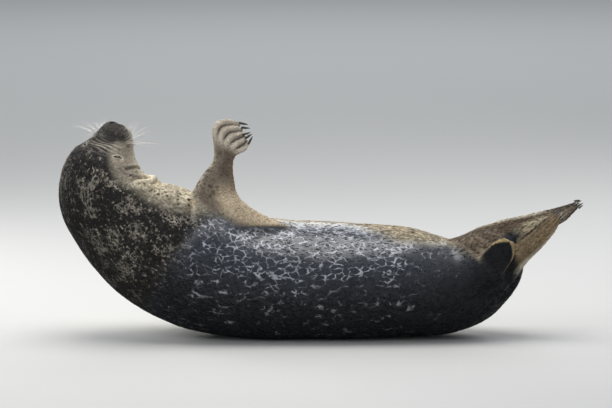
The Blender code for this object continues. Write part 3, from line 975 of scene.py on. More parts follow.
            # The folds' grooves carry painted shade and their crests a painted highlight.
            self.lay((JET_FUR, hill(s, wave, 0.0019) * strong * 0.7),
                     (PALE_LID, hill(s, wave + FOLD_CREST, 0.0015) * strong * 0.75))
        near = (s < 0.12) * 1.0
        on_head = np.flatnonzero(near)
        lips = np.zeros(len(s))
        for side, ring_share, rim_share in ((1, 0.7, 0.85), (-1, 0.15, 0.3)):
            middle, slit_way, across, _ = eye_frame(side)
            off = at.raw - middle
            a, b = off @ slit_way, off @ across
            lids = np.exp(-(a / 0.021) ** 4 - (b / 0.0115) ** 4) * near
            self.spots = self.spots * (1 - lids)
            gap_from = np.abs(b - LID_BOW) - half_open(a)
            inside = smooth(-gap_from, -0.0011, 0.0003)
            inside = inside * smooth(-np.abs(a), -SLIT_HALF * 1.25, -SLIT_HALF)
            margin = hill(gap_from, 0.0028, 0.0022) * smooth(-np.abs(a), -0.019, -0.014) * near
            gap, _ = line_distance(on_nose(at.raw, side), NOSTRIL)
            self.lay((SAND_FUR, lids * ring_share), (PALE_LID, margin * rim_share),
                     (NOSE_SKIN, inside * near), (JET_FUR, hill(gap, 0, 0.0032) * (s < NOSE_REACH)))
            _, mouth = crease_path(CREASES[0][0], side)
            gap, _ = line_distance(at.raw[on_head], mouth)
            lips[on_head] = np.maximum(lips[on_head], hill(gap, 0, 0.0022))
        across, above = on_nose(at.raw, 1).T
        pad = np.exp(-(across / 0.019) ** 4 - ((above - 0.001) / 0.013) ** 4)
        self.lay((NOSE_SKIN, pad * smooth(-s, -0.016, -0.008)), (NOSE_SKIN, lips * 0.9))

    def colour_limbs(self, at):
        """Fore and hind flippers and the tail, laid over the body's colours."""
        t, v = at.t, at.v
        fore = at.on("foreflipper_right") + at.on("foreflipper_left")
        right_hind, left_hind, tail = (
            at.on(name) for name in ("hind_flipper_right", "hind_flipper_left", "tail"))
        hand = smooth(t, 0.55, 0.70)
        armpit = smooth(v, 0.40, 0.66) * smooth(-t, -0.36, -0.16)
        digits = np.array(FORE_DIGITS)
        crest = np.max([hill(v, digit, 0.05) for digit in digits], axis=0)
        gaps = np.max([hill(v, gap, 0.032) for gap in (digits[1:] + digits[:-1]) / 2], axis=0)
        ones = np.ones((len(t), 1))
        arm = layered(
            ones * ARM_FUR,
            # painted shade down the middle of the arm
            (ARM_PAINTED_SHADE, hill(v, 0.62, 0.22) * hill(t, 0.46, 0.16) * 0.8),
            (ARM_RUST, smooth(v, 0.82, 0.97) * hill(t, 0.42, 0.16) * 0.8),
            (ARMPIT_FUR, armpit),
            # painted highlight along the arm's leading edge
            (ARM_PAINTED_HIGHLIGHT, hill(v, 0.03, 0.09) * hill(t, 0.34, 0.24) * 0.9),
            (HAND_FUR, hand),
            # painted highlight on the fingers' crests
            (FINGER_PAINTED_HIGHLIGHT, hand * crest * 0.6))
        sole = smooth(at.face, -0.3, 0.3)
        rim = smooth(np.abs(v - 0.5), 0.40, 0.49)
        left = layered(ones * JET_FUR * 1.6, (HIND_SOLE, sole), (CREAM_FUR, rim * 0.8))
        end = smooth(np.hypot(2 * (v - 0.5), np.maximum(t - 0.55, 0) / 0.42), 0.90, 0.98)
        # The tail is near black: partly its own dark colour, partly painted shade.
        lobe = layered(ones * JET_FUR, (TAIL_RIM, end * smooth(t, 0.2, 0.5)))
        inner_edge = smooth(-v, -0.30, -0.02) * (1 - smooth(t, 0.6, 0.85))
        self.lay(
            (arm, fore),
            # painted shade in the grooves between the fingers
            (DIGIT_GAP_PAINTED_SHADE, fore * gaps * smooth(t, 0.62, 0.72) * 0.92),
            (HIND_FUR, right_hind),
            (CREAM_FUR, right_hind * inner_edge),
            (HIND_END, right_hind * smooth(t, 0.72, 0.92) * 0.8),
            (left, left_hind),
            (lobe, tail))

        on_limb = fore + right_hind + left_hind + tail
        self.mark = layered(self.mark, (BROWN_FUR, on_limb))
        self.rings, self.flecks, self.spots = (
            share * (1 - on_limb) for share in (self.rings, self.flecks, self.spots))
        self.spots = (self.spots + fore * 0.5 * (1 - hand) * (1 - 0.8 * armpit)
                      + right_hind * 0.75 + left_hind * 0.3 * sole)
        wet = self.wet + 0.2 * tail + 0.3 * left_hind * (1 - sole)
        self.wet = wet * (1 - 0.85 * self.low * (1 - at.mask))


def add_layer(mesh, name, values):
    """Store numbers, colours or directions on the mesh's vertices."""
    values = np.asarray(values, np.float32)
    kind, key = "FLOAT_VECTOR", "vector"
    if values.ndim == 1:
        kind, key = "FLOAT", "value"
    elif name in ("ground", "mark"):
        kind, key = "FLOAT_COLOR", "color"
        values = np.hstack([values, np.ones((len(values), 1), np.float32)])
    mesh.attributes.new(name, kind, "POINT").data.foreach_set(key, values.ravel())


UNWRAP = 1 / 1.6            # share of the unwrapped sheet that a metre takes
STRIP = (0.36, 0.03)        # where the body's strip lies on the sheet: the back, and the nose
LIMB_PATCH = (0.73, 0.02, 0.115, 0.195, 0.175)    # corner, width, step and height of a limb's patch


def unwrap(mesh, at):
    """Lay the skin flat: the body as one strip opened along the belly, each limb beside it."""
    tri = triangles_of(mesh)
    angle = at.angle[tri]
    angle = np.where((np.ptp(angle, axis=1) > 180)[:, None] & (angle < 0), angle + 360, angle)
    *_, side, back, belly = sections(at.s)
    girth = np.pi * (side + (back + belly) / 2) / 2
    u = STRIP[0] + angle / 180 * girth[tri] * UNWRAP
    v = STRIP[1] + at.s[tri] * UNWRAP
    uv = np.stack([u, v], -1)
    limb = at.limb[tri]
    whole = (limb[:, :1] == limb).all(axis=1) & (at.mask[tri] > 0).all(axis=1)
    left, bottom, wide, step, high = LIMB_PATCH
    for number in range(len(LIMBS)):
        on = whole & (limb[:, 0] == number)
        ring = at.ring[tri][on]
        ring = np.where((np.ptp(ring, axis=1) > 0.5)[:, None] & (ring < 0.5), ring + 1, ring)
        uv[on] = np.stack([left + wide * ring, bottom + step * number + high * at.t[tri][on]], -1)
    layer = mesh.uv_layers.new(name="OFBake")
    layer.data.foreach_set("uv", uv.astype(np.float32).ravel())
    mesh.uv_layers.active = layer
    return uv


def dress(item):
    """Put the markings, the pattern's places and the unwrap on the skin."""
    mesh = item.data
    at = Places(places_of(mesh))
    marks = Markings(at)
    for name, values in {**marks.colours, **marks.shares, "place": at.place}.items():
        add_layer(mesh, name, values)
    return at, marks, unwrap(mesh, at)


# ------------------------------------------------------------------ finishes

class Wires:
    """Short calls for building one node tree."""

    def __init__(self, tree):
        self.tree = tree

    def set(self, socket, value):
        """Wire an output to the socket, or give the socket a constant."""
        if isinstance(value, bpy.types.NodeSocket):
            self.tree.links.new(value, socket)
        else:
            socket.default_value = value

    def node(self, kind, inputs=(), **settings):
        node = self.tree.nodes.new(kind)
        for key, value in settings.items():
            setattr(node, key, value)
        for key, value in dict(inputs).items():
            self.set(node.inputs[key], value)
        return node

    def math(self, operation, a, b=0.5, clamp=False):
        return self.node("ShaderNodeMath", {0: a, 1: b}, operation=operation, use_clamp=clamp).outputs[0]

    def product(self, *factors):
        result = factors[0]
        for factor in factors[1:]:
            result = self.math("MULTIPLY", result, factor)
        return result

    def swing(self, value, amount):
        """A noise value's departure from its mean, times an amount."""
        return self.product(self.math("SUBTRACT", value, 0.5), amount)

    def vectors(self, operation, a, b):
        return self.node("ShaderNodeVectorMath", {0: a, 1: b}, operation=operation).outputs[0]

    def scaled(self, vector, amount):
        return self.node("ShaderNodeVectorMath", {0: vector, "Scale": amount}, operation="SCALE").outputs[0]

    def ramp(self, value, low, high, to_low=0.0, to_high=1.0):
        return self.node("ShaderNodeMapRange", {"Value": value, "From Min": low, "From Max": high,
                                                "To Min": to_low, "To Max": to_high},
                         interpolation_type="SMOOTHSTEP").outputs[0]

    def mix(self, share, a, b):
        return self.node("ShaderNodeMix", {0: share, 6: a, 7: b}, data_type="RGBA").outputs[2]

    def read(self, name, output="Fac"):
        return self.node("ShaderNodeAttribute", attribute_name=name).outputs[output]

    def noise(self, vector, scale, detail=3.0, rough=0.55):
        return self.node("ShaderNodeTexNoise", {"Vector": vector, "Scale": scale, "Detail": detail,
                                                "Roughness": rough}).outputs["Fac"]

    def cells(self, vector, scale, feature="DISTANCE_TO_EDGE"):
        return self.node("ShaderNodeTexVoronoi", {"Vector": vector, "Scale": scale},
                         feature=feature).outputs["Distance"]

    def stretched(self, vector, scale):
        return self.vectors("MULTIPLY", vector, scale)

    def bump(self, strength, distance, height, shader):
        node = self.node("ShaderNodeBump", {"Strength": strength, "Distance": distance, "Height": height})
        self.set(shader.inputs["Normal"], node.outputs["Normal"])


def group(name, inputs, outputs):
    """A new shader node group with named sockets, and its wires."""
    tree = bpy.data.node_groups.new(name, "ShaderNodeTree")
    for label, default in inputs:
        socket = tree.interface.new_socket(label, in_out="INPUT", socket_type="NodeSocketFloat")
        socket.default_value = default
    for label, kind in outputs:
        tree.interface.new_socket(label, in_out="OUTPUT", socket_type="NodeSocket" + kind)
    wires = Wires(tree)
    return tree, wires, wires.node("NodeGroupInput").outputs, wires.node("NodeGroupOutput").inputs


def net_of_lines(w, place, bent):
    """The trunk's net of pale lines, broken and of changing width."""
    net = w.cells(w.stretched(bent, (0.62, 1.0, 1.0)), 60.0)
    width = w.ramp(w.noise(bent, 60.0), 0.32, 0.68, 0.0, 0.105)
    line = w.ramp(w.math("SUBTRACT", net, width), -0.035, 0.035, 1.0, 0.0)
    rings = w.read("rings")
    broken = w.noise(w.stretched(place, (0.5, 1.0, 1.0)), 46.0, 4.0)
    broken = w.ramp(w.math("ADD", broken, w.product(rings, 0.26)), 0.62, 0.80)
    return w.product(line, broken, w.ramp(rings, 0.0, 0.7, 0.25, 1.0), w.ramp(rings, 0.0, 0.1))


def neck_speckle(w, place, bent):
    """Small pale flecks and half rings of the neck, drawn out along the lie."""
    fleck = w.noise(w.stretched(bent, (0.55, 1.0, 1.0)), 140.0, 4.0, 0.6)
    small = w.cells(w.stretched(bent, (0.7, 1.0, 1.0)), 95.0)
    cover = w.noise(place, 22.0, 3.0)
    flecks = w.ramp(w.math("ADD", fleck, w.swing(cover, 0.25)), 0.575, 0.625)
    rings = w.product(w.ramp(small, 0.04, 0.12, 1.0, 0.0), w.ramp(cover, 0.47, 0.60), 0.7)
    return w.product(w.math("MAXIMUM", flecks, rings), w.read("flecks"))


def dark_spots(w, place, bent):
    """Dark spots on pale fur."""
    spot = w.cells(w.stretched(bent, (0.7, 1.0, 1.0)), 62.0, "F1")
    spot = w.math("ADD", spot, w.product(w.noise(place, 45.0), 0.8))
    return w.product(w.ramp(spot, 0.52, 0.78, 1.0, 0.0), w.ramp(w.read("spots"), 0.0, 0.8))


def pelage_group():
    """Colour, wetness and fine relief of the coat at a place on the body."""
    tree, w, given, out = group(
        "pelage", (("Grain", 0.25), ("Light", 1.0)),
        (("Colour", "Color"), ("Wetness", "Float"), ("Roughness", "Float"), ("Relief", "Float")))
    run = w.scaled(w.read("run", "Vector"), w.read("tip"))
    place = w.vectors("ADD", w.read("place", "Vector"), run)
    drift = w.node("ShaderNodeTexNoise", {"Vector": place, "Scale": 38.0, "Detail": 3.0}).outputs["Color"]
    drift = w.scaled(w.vectors("SUBTRACT", drift, (0.5, 0.5, 0.5)), 0.020)
    bent = w.vectors("ADD", place, drift)
    light_marks = w.math("MAXIMUM", net_of_lines(w, place, bent), neck_speckle(w, place, bent))
    marks = w.math("MAXIMUM", light_marks, dark_spots(w, place, bent), clamp=True)
    colour = w.mix(marks, w.read("ground", "Color"), w.read("mark", "Color"))

    # streaks of single hairs, clumped where wet
    streak = w.noise(w.stretched(place, (70.0, 520.0, 520.0)), 1.0, 3.0, 0.7)
    blotch = w.noise(place, 13.0, 4.0, 0.6)
    light = w.math("ADD", w.swing(streak, given["Grain"]), 1.0)
    light = w.product(light, w.ramp(blotch, 0.25, 0.75, 0.82, 1.18), given["Light"])
    wet = w.read("wet")
    clump = w.noise(w.stretched(place, (24.0, 190.0, 190.0)), 1.0, 3.0)
    relief = w.math("ADD", w.product(streak, 0.45), w.product(clump, 0.8))
    w.set(out["Colour"], w.scaled(colour, light))
    w.set(out["Wetness"], wet)
    w.set(out["Roughness"], w.math("ADD", w.ramp(wet, 0.2, 0.9, 0.74, 0.34), w.swing(streak, 0.25)))
    w.set(out["Relief"], w.math("ADD", relief, w.product(marks, 0.12)))
    return tree


def finish(name):
    """A new material, its wires and its shader."""
    material = bpy.data.materials.new(name)
    material.use_nodes = True
    return material, Wires(material.node_tree), material.node_tree.nodes["Principled BSDF"]


def fur_finish(name, pelage, grain, light, relief):
    """Skin or coat: the shared pelage with its own grain, lightness and relief."""
    material, w, shader = finish(name)
    fur = w.node("ShaderNodeGroup", node_tree=pelage)
    w.set(fur.inputs["Grain"], grain)
    w.set(fur.inputs["Light"], light)
    fur = fur.outputs
    colour = fur["Colour"]
    if name == "coat_fur":
        tip = w.ramp(w.read("tip"), 0.0, 1.0, 0.78, 1.22)
        colour = w.scaled(colour, w.product(tip, w.ramp(w.read("shade"), 0.0, 1.0, 0.78, 1.24)))
    for key, value in (("Base Color", colour), ("Roughness", fur["Roughness"]),
                       ("Coat Weight", w.product(fur["Wetness"], 0.55)), ("Coat Roughness", 0.22),
                       ("Sheen Weight", 0.03), ("Sheen Roughness", 0.5), ("Specular IOR Level", 0.22)):
        w.set(shader.inputs[key], value)
    if relief:
        w.bump(relief, 0.0012, fur["Relief"], shader)
    return material


def claw_finish():
    """Dark horn, paler toward the root, with fine grooves along it."""
    material, w, shader = finish("claw_horn")
    place = w.node("ShaderNodeTexCoord").outputs["Object"]
    cloud = w.noise(place, 120.0, 3.0)
    grain = w.noise(w.stretched(place, (300.0, 900.0, 900.0)), 1.0, 2.0)
    colour = w.mix(w.ramp(cloud, 0.35, 0.7), (0.016, 0.013, 0.011, 1), (0.070, 0.052, 0.036, 1))
    w.set(shader.inputs["Base Color"], colour)
    w.set(shader.inputs["Roughness"], w.ramp(grain, 0.3, 0.7, 0.26, 0.48))
    w.bump(0.3, 0.0003, grain, shader)
    return material


def eye_finish():
    """Wet black-brown eyeball."""
    material, w, shader = finish("eye_wet")
    cloud = w.noise(w.node("ShaderNodeTexCoord").outputs["Object"], 260.0, 3.0)
    colour = w.mix(w.ramp(cloud, 0.35, 0.7), (0.004, 0.003, 0.003, 1), (0.020, 0.012, 0.008, 1))
    for key, value in (("Base Color", colour), ("Roughness", w.ramp(cloud, 0.3, 0.7, 0.05, 0.12)),
                       ("Coat Weight", 0.25), ("Coat Roughness", 0.03), ("Specular IOR Level", 0.3)):
        w.set(shader.inputs[key], value)
    return material


def whisker_finish():
    """Pale, slightly clear bristle, darker at the root."""
    material, w, shader = finish("whisker_horn")
    colour = w.mix(w.ramp(w.read("tip"), 0.0, 0.25), (0.17, 0.145, 0.115, 1), (0.80, 0.78, 0.72, 1))
    w.set(shader.inputs["Base Color"], w.scaled(colour, w.ramp(w.read("shade"), 0.0, 1.0, 0.7, 1.1)))
    w.set(shader.inputs["Roughness"], w.ramp(w.read("tip"), 0.0, 1.0, 0.28, 0.42))
    return material


# ------------------------------------------------------------------ coat, whiskers and brow hairs

PATCH = 0.003               # side of a tuft's patch on the unwrapped sheet


def blade(yaw, length, shift, width, arch, tip_drop):
    """One solid, tapering hair clump of unit reach along X: points, faces, share toward the tip."""
    rows = ((0.0, -0.035, 0.75), (0.48, arch, 1.0), (1.0, arch * 0.5 - tip_drop, 0.0))
    c, s = math.cos(math.radians(yaw)), math.sin(math.radians(yaw))
    points, tips = [], []
    for x, z, wide in rows:
        spots = ((-wide, 0), (wide, 0), (0, 0.75 * wide)) if wide else ((0, 0),)
        for y, h in spots:
            px, py = x * length, shift + y * width
            points.append((px * c - py * s, px * s + py * c, z * length + h * width))
            tips.append(x)
    faces = [(0, 1, 2), (0, 3, 4, 1), (1, 4, 5, 2), (2, 5, 3, 0), (3, 6, 4), (4, 6, 5), (5, 6, 3)]
    return points, faces, tips


def shape(name, points, faces, tips, spread):
    """A shape to be set on roots, with its own small unwrap along X and across."""
    mesh = mesh_of(name, points, faces)
    add_layer(mesh, "tip", tips)
    layer = mesh.uv_layers.new(name="OFBake")
    for loop in mesh.loops:
        x, y, _ = mesh.vertices[loop.vertex_index].co
        layer.data[loop.index].uv = (min(max(x, 0), 1), min(max(0.5 + spread * y, 0), 1))
    mesh.shade_smooth()
    return put(name, mesh)


def tuft(name, blades):
    """A tuft of blades on one root."""
    points, faces, tips = [], [], []
    for row in blades:
        more, more_faces, more_tips = blade(*row)
        faces += [tuple(len(points) + k for k in face) for face in more_faces]
        points += more
        tips += more_tips
    return shape(name, points, faces, tips, 1.6)


def whisker(name, sides=5, steps=9):
    """One whisker of unit length along X that bends down and tapers."""
    along = np.linspace(0, 1, steps)
    turn = np.arange(sides) * 2 * np.pi / sides
    radius = 0.0075 * (1 - 0.93 * along ** 0.8)
    centre = np.stack([along - 0.06 * along ** 2, 0 * along, 0.30 * along - 0.34 * along ** 2], 1)
    ring = np.stack([0 * turn, np.cos(turn), np.sin(turn)], 1)
    points, faces = tube(centre[:, None] + radius[:, None, None] * ring[None], True)
    return shape(name, points, faces, points[:, 0], 20)


def rooted_tree():
    """Geometry Nodes that set a shape on every root, along its lie, and make the result real."""
    tree = bpy.data.node_groups.new("rooted_hairs", "GeometryNodeTree")
    kinds = (("Roots", "Geometry"), ("Shapes", "Collection"), ("Spread", "Float"), ("Lift", "Float"),
             ("Uneven lift", "Float"), ("Patch", "Float"), ("Seed", "Int"), ("Finish", "Material"))
    keys = {label: tree.interface.new_socket(
        label, in_out="INPUT", socket_type="NodeSocket" + kind).identifier for label, kind in kinds}
    tree.interface.new_socket("Hairs", in_out="OUTPUT", socket_type="NodeSocketGeometry")
    w = Wires(tree)
    given = w.node("NodeGroupInput").outputs

    def named(name):
        """A vector stored on the roots or the shapes."""
        return w.node("GeometryNodeInputNamedAttribute", {"Name": name},
                      data_type="FLOAT_VECTOR").outputs["Attribute"]

    def random(amount, offset):
        """A random number for each root, from minus the amount to the amount."""
        seed = w.math("ADD", given["Seed"], offset)
        return w.node("FunctionNodeRandomValue", {2: w.product(amount, -1.0), 3: amount, "Seed": seed},
                      data_type="FLOAT").outputs[1]

    stand = w.node("FunctionNodeAlignRotationToVector", {"Vector": named("up")}, axis="Z").outputs[0]
    along = w.node("FunctionNodeAlignRotationToVector", {"Rotation": stand, "Vector": named("lie")},
                   axis="X", pivot_axis="Z").outputs[0]
    pitch = w.math("SUBTRACT", random(given["Uneven lift"], 1), given["Lift"])
    angles = w.node("ShaderNodeCombineXYZ", {"Y": pitch, "Z": random(given["Spread"], 2)}).outputs[0]
    euler = w.node("FunctionNodeEulerToRotation", {0: angles}).outputs[0]
    turn = w.node("FunctionNodeRotateRotation", {0: along, 1: euler}, rotation_space="LOCAL").outputs[0]
    pool = w.node("GeometryNodeCollectionInfo", {"Separate Children": True, "Reset Children": True,
                                                 "Collection": given["Shapes"]}).outputs[0]
    placed = w.node("GeometryNodeInstanceOnPoints", {
        "Points": given["Roots"], "Instance": pool, "Pick Instance": True, "Rotation": turn,
        "Scale": named("size")}).outputs[0]
    last = w.node("GeometryNodeRealizeInstances", {0: placed}).outputs[0]
    spot = w.vectors("ADD", w.scaled(named("OFBake"), given["Patch"]), named("root_uv"))
    last = w.node("GeometryNodeStoreNamedAttribute", {"Name": "OFBake", "Geometry": last, "Value": spot},
                  data_type="FLOAT2", domain="CORNER").outputs[0]
    for name in ("root_uv", "up", "lie", "size"):
        last = w.node("GeometryNodeRemoveAttribute", {0: last, "Name": name}).outputs[0]
    paint = w.node("GeometryNodeSetMaterial", {"Geometry": last, "Material": given["Finish"]})
    w.node("NodeGroupOutput", {0: paint.outputs[0]})
    return tree, keys


def hairs(name, roots, shapes, layers, **settings):
    """One finished piece of hairs from root points, their shapes and what is stored on them."""
    mesh = bpy.data.meshes.new(name)
    mesh.from_pydata(roots.tolist(), [], [])
    for layer, values in layers.items():
        add_layer(mesh, layer, values)
    item = put(name, mesh)
    grow = item.modifiers.new("grow", "NODES")
    grow.node_group = ROOTED
    for label, value in {"Shapes": shapes, "Patch": PATCH, **settings}.items():
        grow[ROOTED_INPUTS[label]] = value
    applied(item)
    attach(item, "root")
    return item


def pool_of(name, items):
    """A collection of shapes that hairs are picked from."""
    pool = bpy.data.collections.new(name)
    for item in items:
        bpy.context.scene.collection.objects.unlink(item)
        pool.objects.link(item)
    return pool


def drop(pool):
    """Remove a collection of shapes."""
    for item in list(pool.objects):
        bpy.data.objects.remove(item)
    bpy.data.collections.remove(pool)


def lie_of(at, normals):
    """Which way the coat lies, tailward on the body and tipward on limbs, and that in places."""
    lie = at.back_axis.copy()
    run_place = np.tile((1.0, 0.0, 0.0), (len(lie), 1))
    for number, (name, *_, root) in enumerate(LIMBS):
        on = np.flatnonzero(at.limb == number)
        rings = LIMB_RINGS[name]
        run = unit(np.gradient(rings.mean(axis=1), axis=0))
        row = np.clip((at.t[on] * (len(rings) - 1)).astype(int), 0, len(rings) - 1)
        share = at.mask[on][:, None]
        lie[on] = lie[on] * (1 - share) + run[row] * share
        _, ahead, above, right = section_axes(root)
        straight = np.stack([-run[row] @ ahead, run[row] @ right, run[row] @ above], 1)
        run_place[on] = run_place[on] * (1 - share) + straight * share
    lie -= normals * dot(lie, normals)[:, None]
    return unit(lie), run_place


def scatter(mesh, weight, count, seed):
    """Random places on the skin: triangle numbers and shares of their corners."""
    random = np.random.default_rng(seed)
    points, tri = places_of(mesh), triangles_of(mesh)
    a, b, c = (points[tri[:, k]] for k in range(3))
    area = np.linalg.norm(np.cross(b - a, c - a), axis=1) / 2
    chance = area * weight[tri].mean(axis=1)
    picked = np.sort(random.choice(len(tri), count, p=chance / chance.sum()))
    u, v = random.random(count), random.random(count)
    flip = u + v > 1
    u, v = np.where(flip, 1 - u, u), np.where(flip, 1 - v, v)
    return picked, tri[picked], np.stack([1 - u - v, u, v], 1), random


# Coat pieces: where along the body, how many tufts, length, width and lift of a tuft.
COAT = (
    ("coat_face", 0.0, 0.105, 6400, 0.0040, 0.0036, 3.5),
    ("coat_head", 0.105, 0.205, 6000, 0.0070, 0.0075, 4),
    ("coat_neck", 0.205, 0.330, 6400, 0.0095, 0.0100, 4.5),
    ("coat_shoulders", 0.330, 0.500, 6400, 0.0115, 0.0115, 5),
    ("coat_chest", 0.500, 0.800, 6400, 0.0120, 0.0105, 4),
    ("coat_loin", 0.800, 1.150, 6400, 0.0120, 0.0105, 4),
    ("coat_rump", 1.150, 1.50, 5600, 0.0115, 0.0100, 4),
    ("coat_flippers", None, None, 6400, 0.0068, 0.0065, 4),
)
# Blades of each tuft: turn, length, shift, width, arch, drop of the tip.
TUFTS = {
    "tuft_a": ((-9, 1.0, -0.05, 0.055, 0.05, 0.03), (3, 0.85, 0.02, 0.05, 0.07, 0.02),
               (11, 0.95, 0.06, 0.05, 0.05, 0.03)),
    "tuft_b": ((-13, 0.8, -0.06, 0.05, 0.06, 0.03), (-2, 1.0, 0.0, 0.06, 0.05, 0.03),
               (8, 0.75, 0.05, 0.05, 0.06, 0.02)),
    "tuft_c": ((-6, 0.9, -0.03, 0.06, 0.06, 0.02), (5, 1.0, 0.03, 0.05, 0.05, 0.04),
               (15, 0.7, 0.07, 0.05, 0.06, 0.03)),
}
TUFT_SPREAD, TUFT_UNEVEN = math.radians(13), math.radians(4)
# Where the coat fades out: heights above the floor, lengths from the nose, distances from the
# middle of an eye; and how much thinner it grows where it is wet.
FLOOR_FADE, NOSE_FADE, EYE_FADE, WET_THINNING = (0.003, 0.012), (0.006, 0.014), (0.0165, 0.0205), 0.62
COAT_SEED, WHISKER_SEED = 40, 7
# Whiskers: length of the first, more for each step back and for each row down.
WHISKER_LENGTH, LONGER_BACK, LONGER_DOWN, WHISKER_SUNK = 0.030, 0.0125, 0.0035, 0.001
BROW_HAIRS, BROW_S, BROW_ANGLE, BROW_LENGTH, BROW_THICK = 4, 0.0655, 27, (0.022, 0.036), 0.045


def coat(item, at, marks, uv):
    """Tufts of fur over the skin, in pieces; thinner where the coat is wet and slick."""
    mesh = item.data
    normals = normals_of(mesh)
    lie, run = lie_of(at, normals)
    wet = marks.shares["wet"]
    free = smooth(places_of(mesh)[:, 2], *FLOOR_FADE) * smooth(at.s, *NOSE_FADE)
    for side in (1, -1):
        gap = np.linalg.norm(at.raw - eye_frame(side)[0], axis=1)
        free *= smooth(gap, *EYE_FADE)
    tufts = pool_of("tufts", [tuft(name, blades) for name, blades in TUFTS.items()])
    for number, (name, start, end, count, long, wide, lift) in enumerate(COAT):
        if start is None:
            weight = free * (at.mask > 0.5) * (at.t < 0.97)
        else:
            weight = free * (at.s >= start) * (at.s < end) * (at.mask <= 0.5)
        weight = weight * (1 - WET_THINNING * wet)
        count = count
        picked, tri, share, random = scatter(mesh, weight, count, COAT_SEED + number)

        def over(values):
            """Values at the tufts' roots, from the corners of their triangles."""
            return (values[tri] * (share if values.ndim == 1 else share[..., None])).sum(axis=1)
        damp = over(wet)
        size = random.uniform(0.75, 1.3, count) * (1 - 0.15 * damp)
        layers = {
            "up": unit(over(normals)), "lie": over(lie), "place": over(at.place),
            "size": np.stack([long * size, wide * size, wide * size * (1 - 0.35 * damp)], 1),
            "run": over(run) * (long * size)[:, None],
            "root_uv": np.hstack([(uv[picked] * share[..., None]).sum(axis=1), np.zeros((count, 1))]),
            "shade": random.random(count),
            **{key: over(values) for key, values in {**marks.colours, **marks.shares}.items()},
        }
        piece = hairs(name, over(places_of(mesh)), tufts, layers, **{
            "Spread": TUFT_SPREAD, "Lift": math.radians(lift), "Uneven lift": TUFT_UNEVEN,
            "Seed": number, "Finish": COAT_FUR})
    drop(tufts)


def whiskers(item, uv):
    """Whiskers on both pads and a few stiff hairs over each eye."""
    mesh = item.data
    points = places_of(mesh)
    tree = tree_of(points)
    first = {}
    for corner, vertex in enumerate(triangles_of(mesh).ravel().tolist()):
        first.setdefault(vertex, corner)
    flat = uv.reshape(-1, 2)
    random = np.random.default_rng(WHISKER_SEED)
    roots, up, lie, size, places = [], [], [], [], []

    def grow(s, angle, out, way, rise, scale):
        """Keep one hair's root, directions, size and place on the unwrapped sheet."""
        _, k, _ = tree.find(body_points([s], [angle])[0] + SHIFT)
        roots.append(points[k] - out * WHISKER_SUNK)
        up.append(unit(rise))
        lie.append(way)
        size.append(scale)
        places.append(flat[first[k]])

    for side in (1, -1):
        for row, step, s, angle in whisker_places(side):
            _, ahead, around, out = frame_at(s, angle)
            long = WHISKER_LENGTH + LONGER_BACK * step + LONGER_DOWN * row
            long *= random.uniform(0.75, 1.15)
            lean = 1.2 - 0.21 * step if side > 0 else 0.35 - 0.13 * step
            way = around * (0.95 - 0.05 * row) + ahead * lean + out * 0.5
            way = unit(way + random.normal(0, 0.12, 3))
            rise = ahead + out * 0.2 + random.normal(0, 0.15, 3)
            thick = 0.07 + 0.025 * random.random()
            grow(s, angle, out, way, rise - way * (rise @ way), (long, thick, long))
        for n in range(BROW_HAIRS):
            s, angle = BROW_S + 0.002 * (n % 2), side * (BROW_ANGLE + 5 * n)
            _, ahead, around, out = frame_at(s, angle)
            long = random.uniform(*BROW_LENGTH)
            rise = out + random.normal(0, 0.1, 3)
            way = unit(out * 0.9 - ahead * 0.3 + around * 0.4 + random.normal(0, 0.1, 3))
            grow(s, angle, out, way, rise, (long, BROW_THICK, long))
    count = len(roots)
    layers = {"up": np.array(up), "lie": np.array(lie), "size": np.array(size),
              "root_uv": np.hstack([np.array(places), np.zeros((count, 1))]),
              "shade": random.random(count)}
    pool = pool_of("whisker_shapes", [whisker("whisker")])
    piece = hairs("whiskers", np.array(roots), pool, layers, **{
        "Spread": 0.06, "Lift": 0.0, "Uneven lift": 0.10, "Seed": 3, "Finish": WHISKER_HORN})
    drop(pool)


# ------------------------------------------------------------------ putting the seal together

PELAGE = pelage_group()
SKIN_FUR = fur_finish("skin_fur", PELAGE, 0.55, 1.0, 0.55)
# The coat's colour is lifted by a fifth: painted light against the tufts' own shade.
COAT_FUR = fur_finish("coat_fur", PELAGE, 0.35, 1.2, 0.0)
WHISKER_HORN = whisker_finish()
ROOTED, ROOTED_INPUTS = rooted_tree()

seal_skin = skin()
at, marks, flat = dress(seal_skin)
seal_skin.data.materials.clear()
seal_skin.data.materials.append(SKIN_FUR)
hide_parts("head", "neck", "chest", "abdomen", "pelvis", "tail", "foreflipper_right",
            "foreflipper_left", "hind_flipper_right", "hind_flipper_left")
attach(seal_skin, "root")
coat(seal_skin, at, marks, flat)
whiskers(seal_skin, flat)
horn, eye_wet = claw_finish(), eye_finish()
for node, item in frame["nodes"].items():
    if node.startswith(("claw", "eye")):
        for slot in item.material_slots:
            slot.material = horn if node.startswith("claw") else eye_wet


# ------------------------------------------------------------------ floor, light and camera

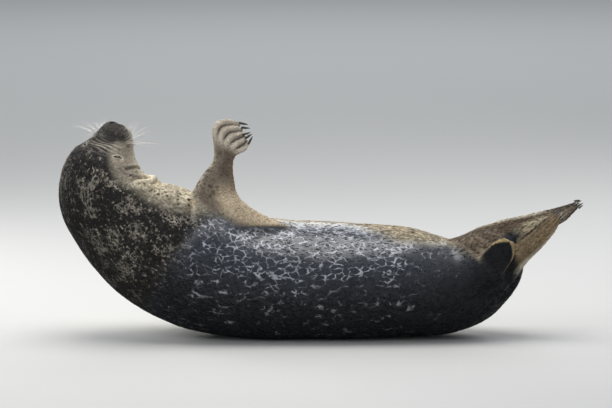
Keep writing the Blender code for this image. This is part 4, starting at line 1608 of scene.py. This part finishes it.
# Soft lights: place, point faced, side, power and colour.
LIGHTS = {
    "overhead": ((-0.3, 0.1, 3.0), (0, 0, 0.2), 2.2, 78, (1, 0.985, 0.96)),
    "front_left": ((-2.2, -2.4, 2.4), (-0.2, 0, 0.3), 1.6, 26, (1, 1, 1)),
    "behind_right": ((2.2, 2.4, 2.2), (0, 0, 0.3), 1.8, 30, (1, 1, 1)),
    "behind_left": ((-2.5, 1.5, 1.1), (-0.5, 0, 0.4), 0.8, 30, (1, 0.98, 0.95)),
    "sky_behind": ((0.1, 8, 5), (0, 0, 0.35), 5, 170, (0.94, 0.97, 1)),
}
FLOOR_HALF, FLOOR_GREY, FLOOR_ROUGH = 60, (0.56, 0.56, 0.55, 1), 0.9
SKY_COLOUR, SKY_STRENGTH = (0.86, 0.9, 0.95, 1), 0.42
LOOK_DOWN = math.radians(8)
LOOK_AT = Vector((-0.0389, 0, 0.3703)) + Vector(SHIFT)
CAMERA_AWAY, CAMERA_SIGHT = 14, 100                 # metres: its distance, and how far it sees
SENSOR, LENS = 36, 296.5                            # millimetres


def stage():
    """Pale floor, even surroundings and soft lights."""
    corners = [(x * FLOOR_HALF, y * FLOOR_HALF, 0) for x, y in ((-1, -1), (1, -1), (1, 1), (-1, 1))]
    floor = put("floor", mesh_of("floor", corners, [(0, 1, 2, 3)]))
    grey, w, shader = finish("pale_floor")
    w.set(shader.inputs["Base Color"], FLOOR_GREY)
    w.set(shader.inputs["Roughness"], FLOOR_ROUGH)
    floor.data.materials.append(grey)
    world = bpy.data.worlds.new("studio")
    world.use_nodes = True
    sky = world.node_tree.nodes["Background"].inputs
    sky["Color"].default_value = SKY_COLOUR
    sky["Strength"].default_value = SKY_STRENGTH
    bpy.context.scene.world = world
    bpy.context.scene.view_settings.view_transform = "Standard"
    for name, (place, aim, size, power, colour) in LIGHTS.items():
        data = bpy.data.lights.new(name, "AREA")
        data.shape, data.size, data.energy, data.color = "SQUARE", size, power, colour
        light = put(name, data)
        light.location = place
        light.rotation_euler = (Vector(aim) - Vector(place)).to_track_quat("-Z", "Y").to_euler()


def camera():
    """The camera's place: level with the seal's back, far off, looking slightly down."""
    data = bpy.data.cameras.new("camera")
    data.sensor_width, data.lens = SENSOR, LENS
    data.clip_end = CAMERA_SIGHT
    eye = put("camera", data)
    eye.location = LOOK_AT + CAMERA_AWAY * Vector((0, -math.cos(LOOK_DOWN), math.sin(LOOK_DOWN)))
    eye.rotation_euler = (math.radians(90) - LOOK_DOWN, 0, 0)
    bpy.context.scene.camera = eye


stage()
camera()
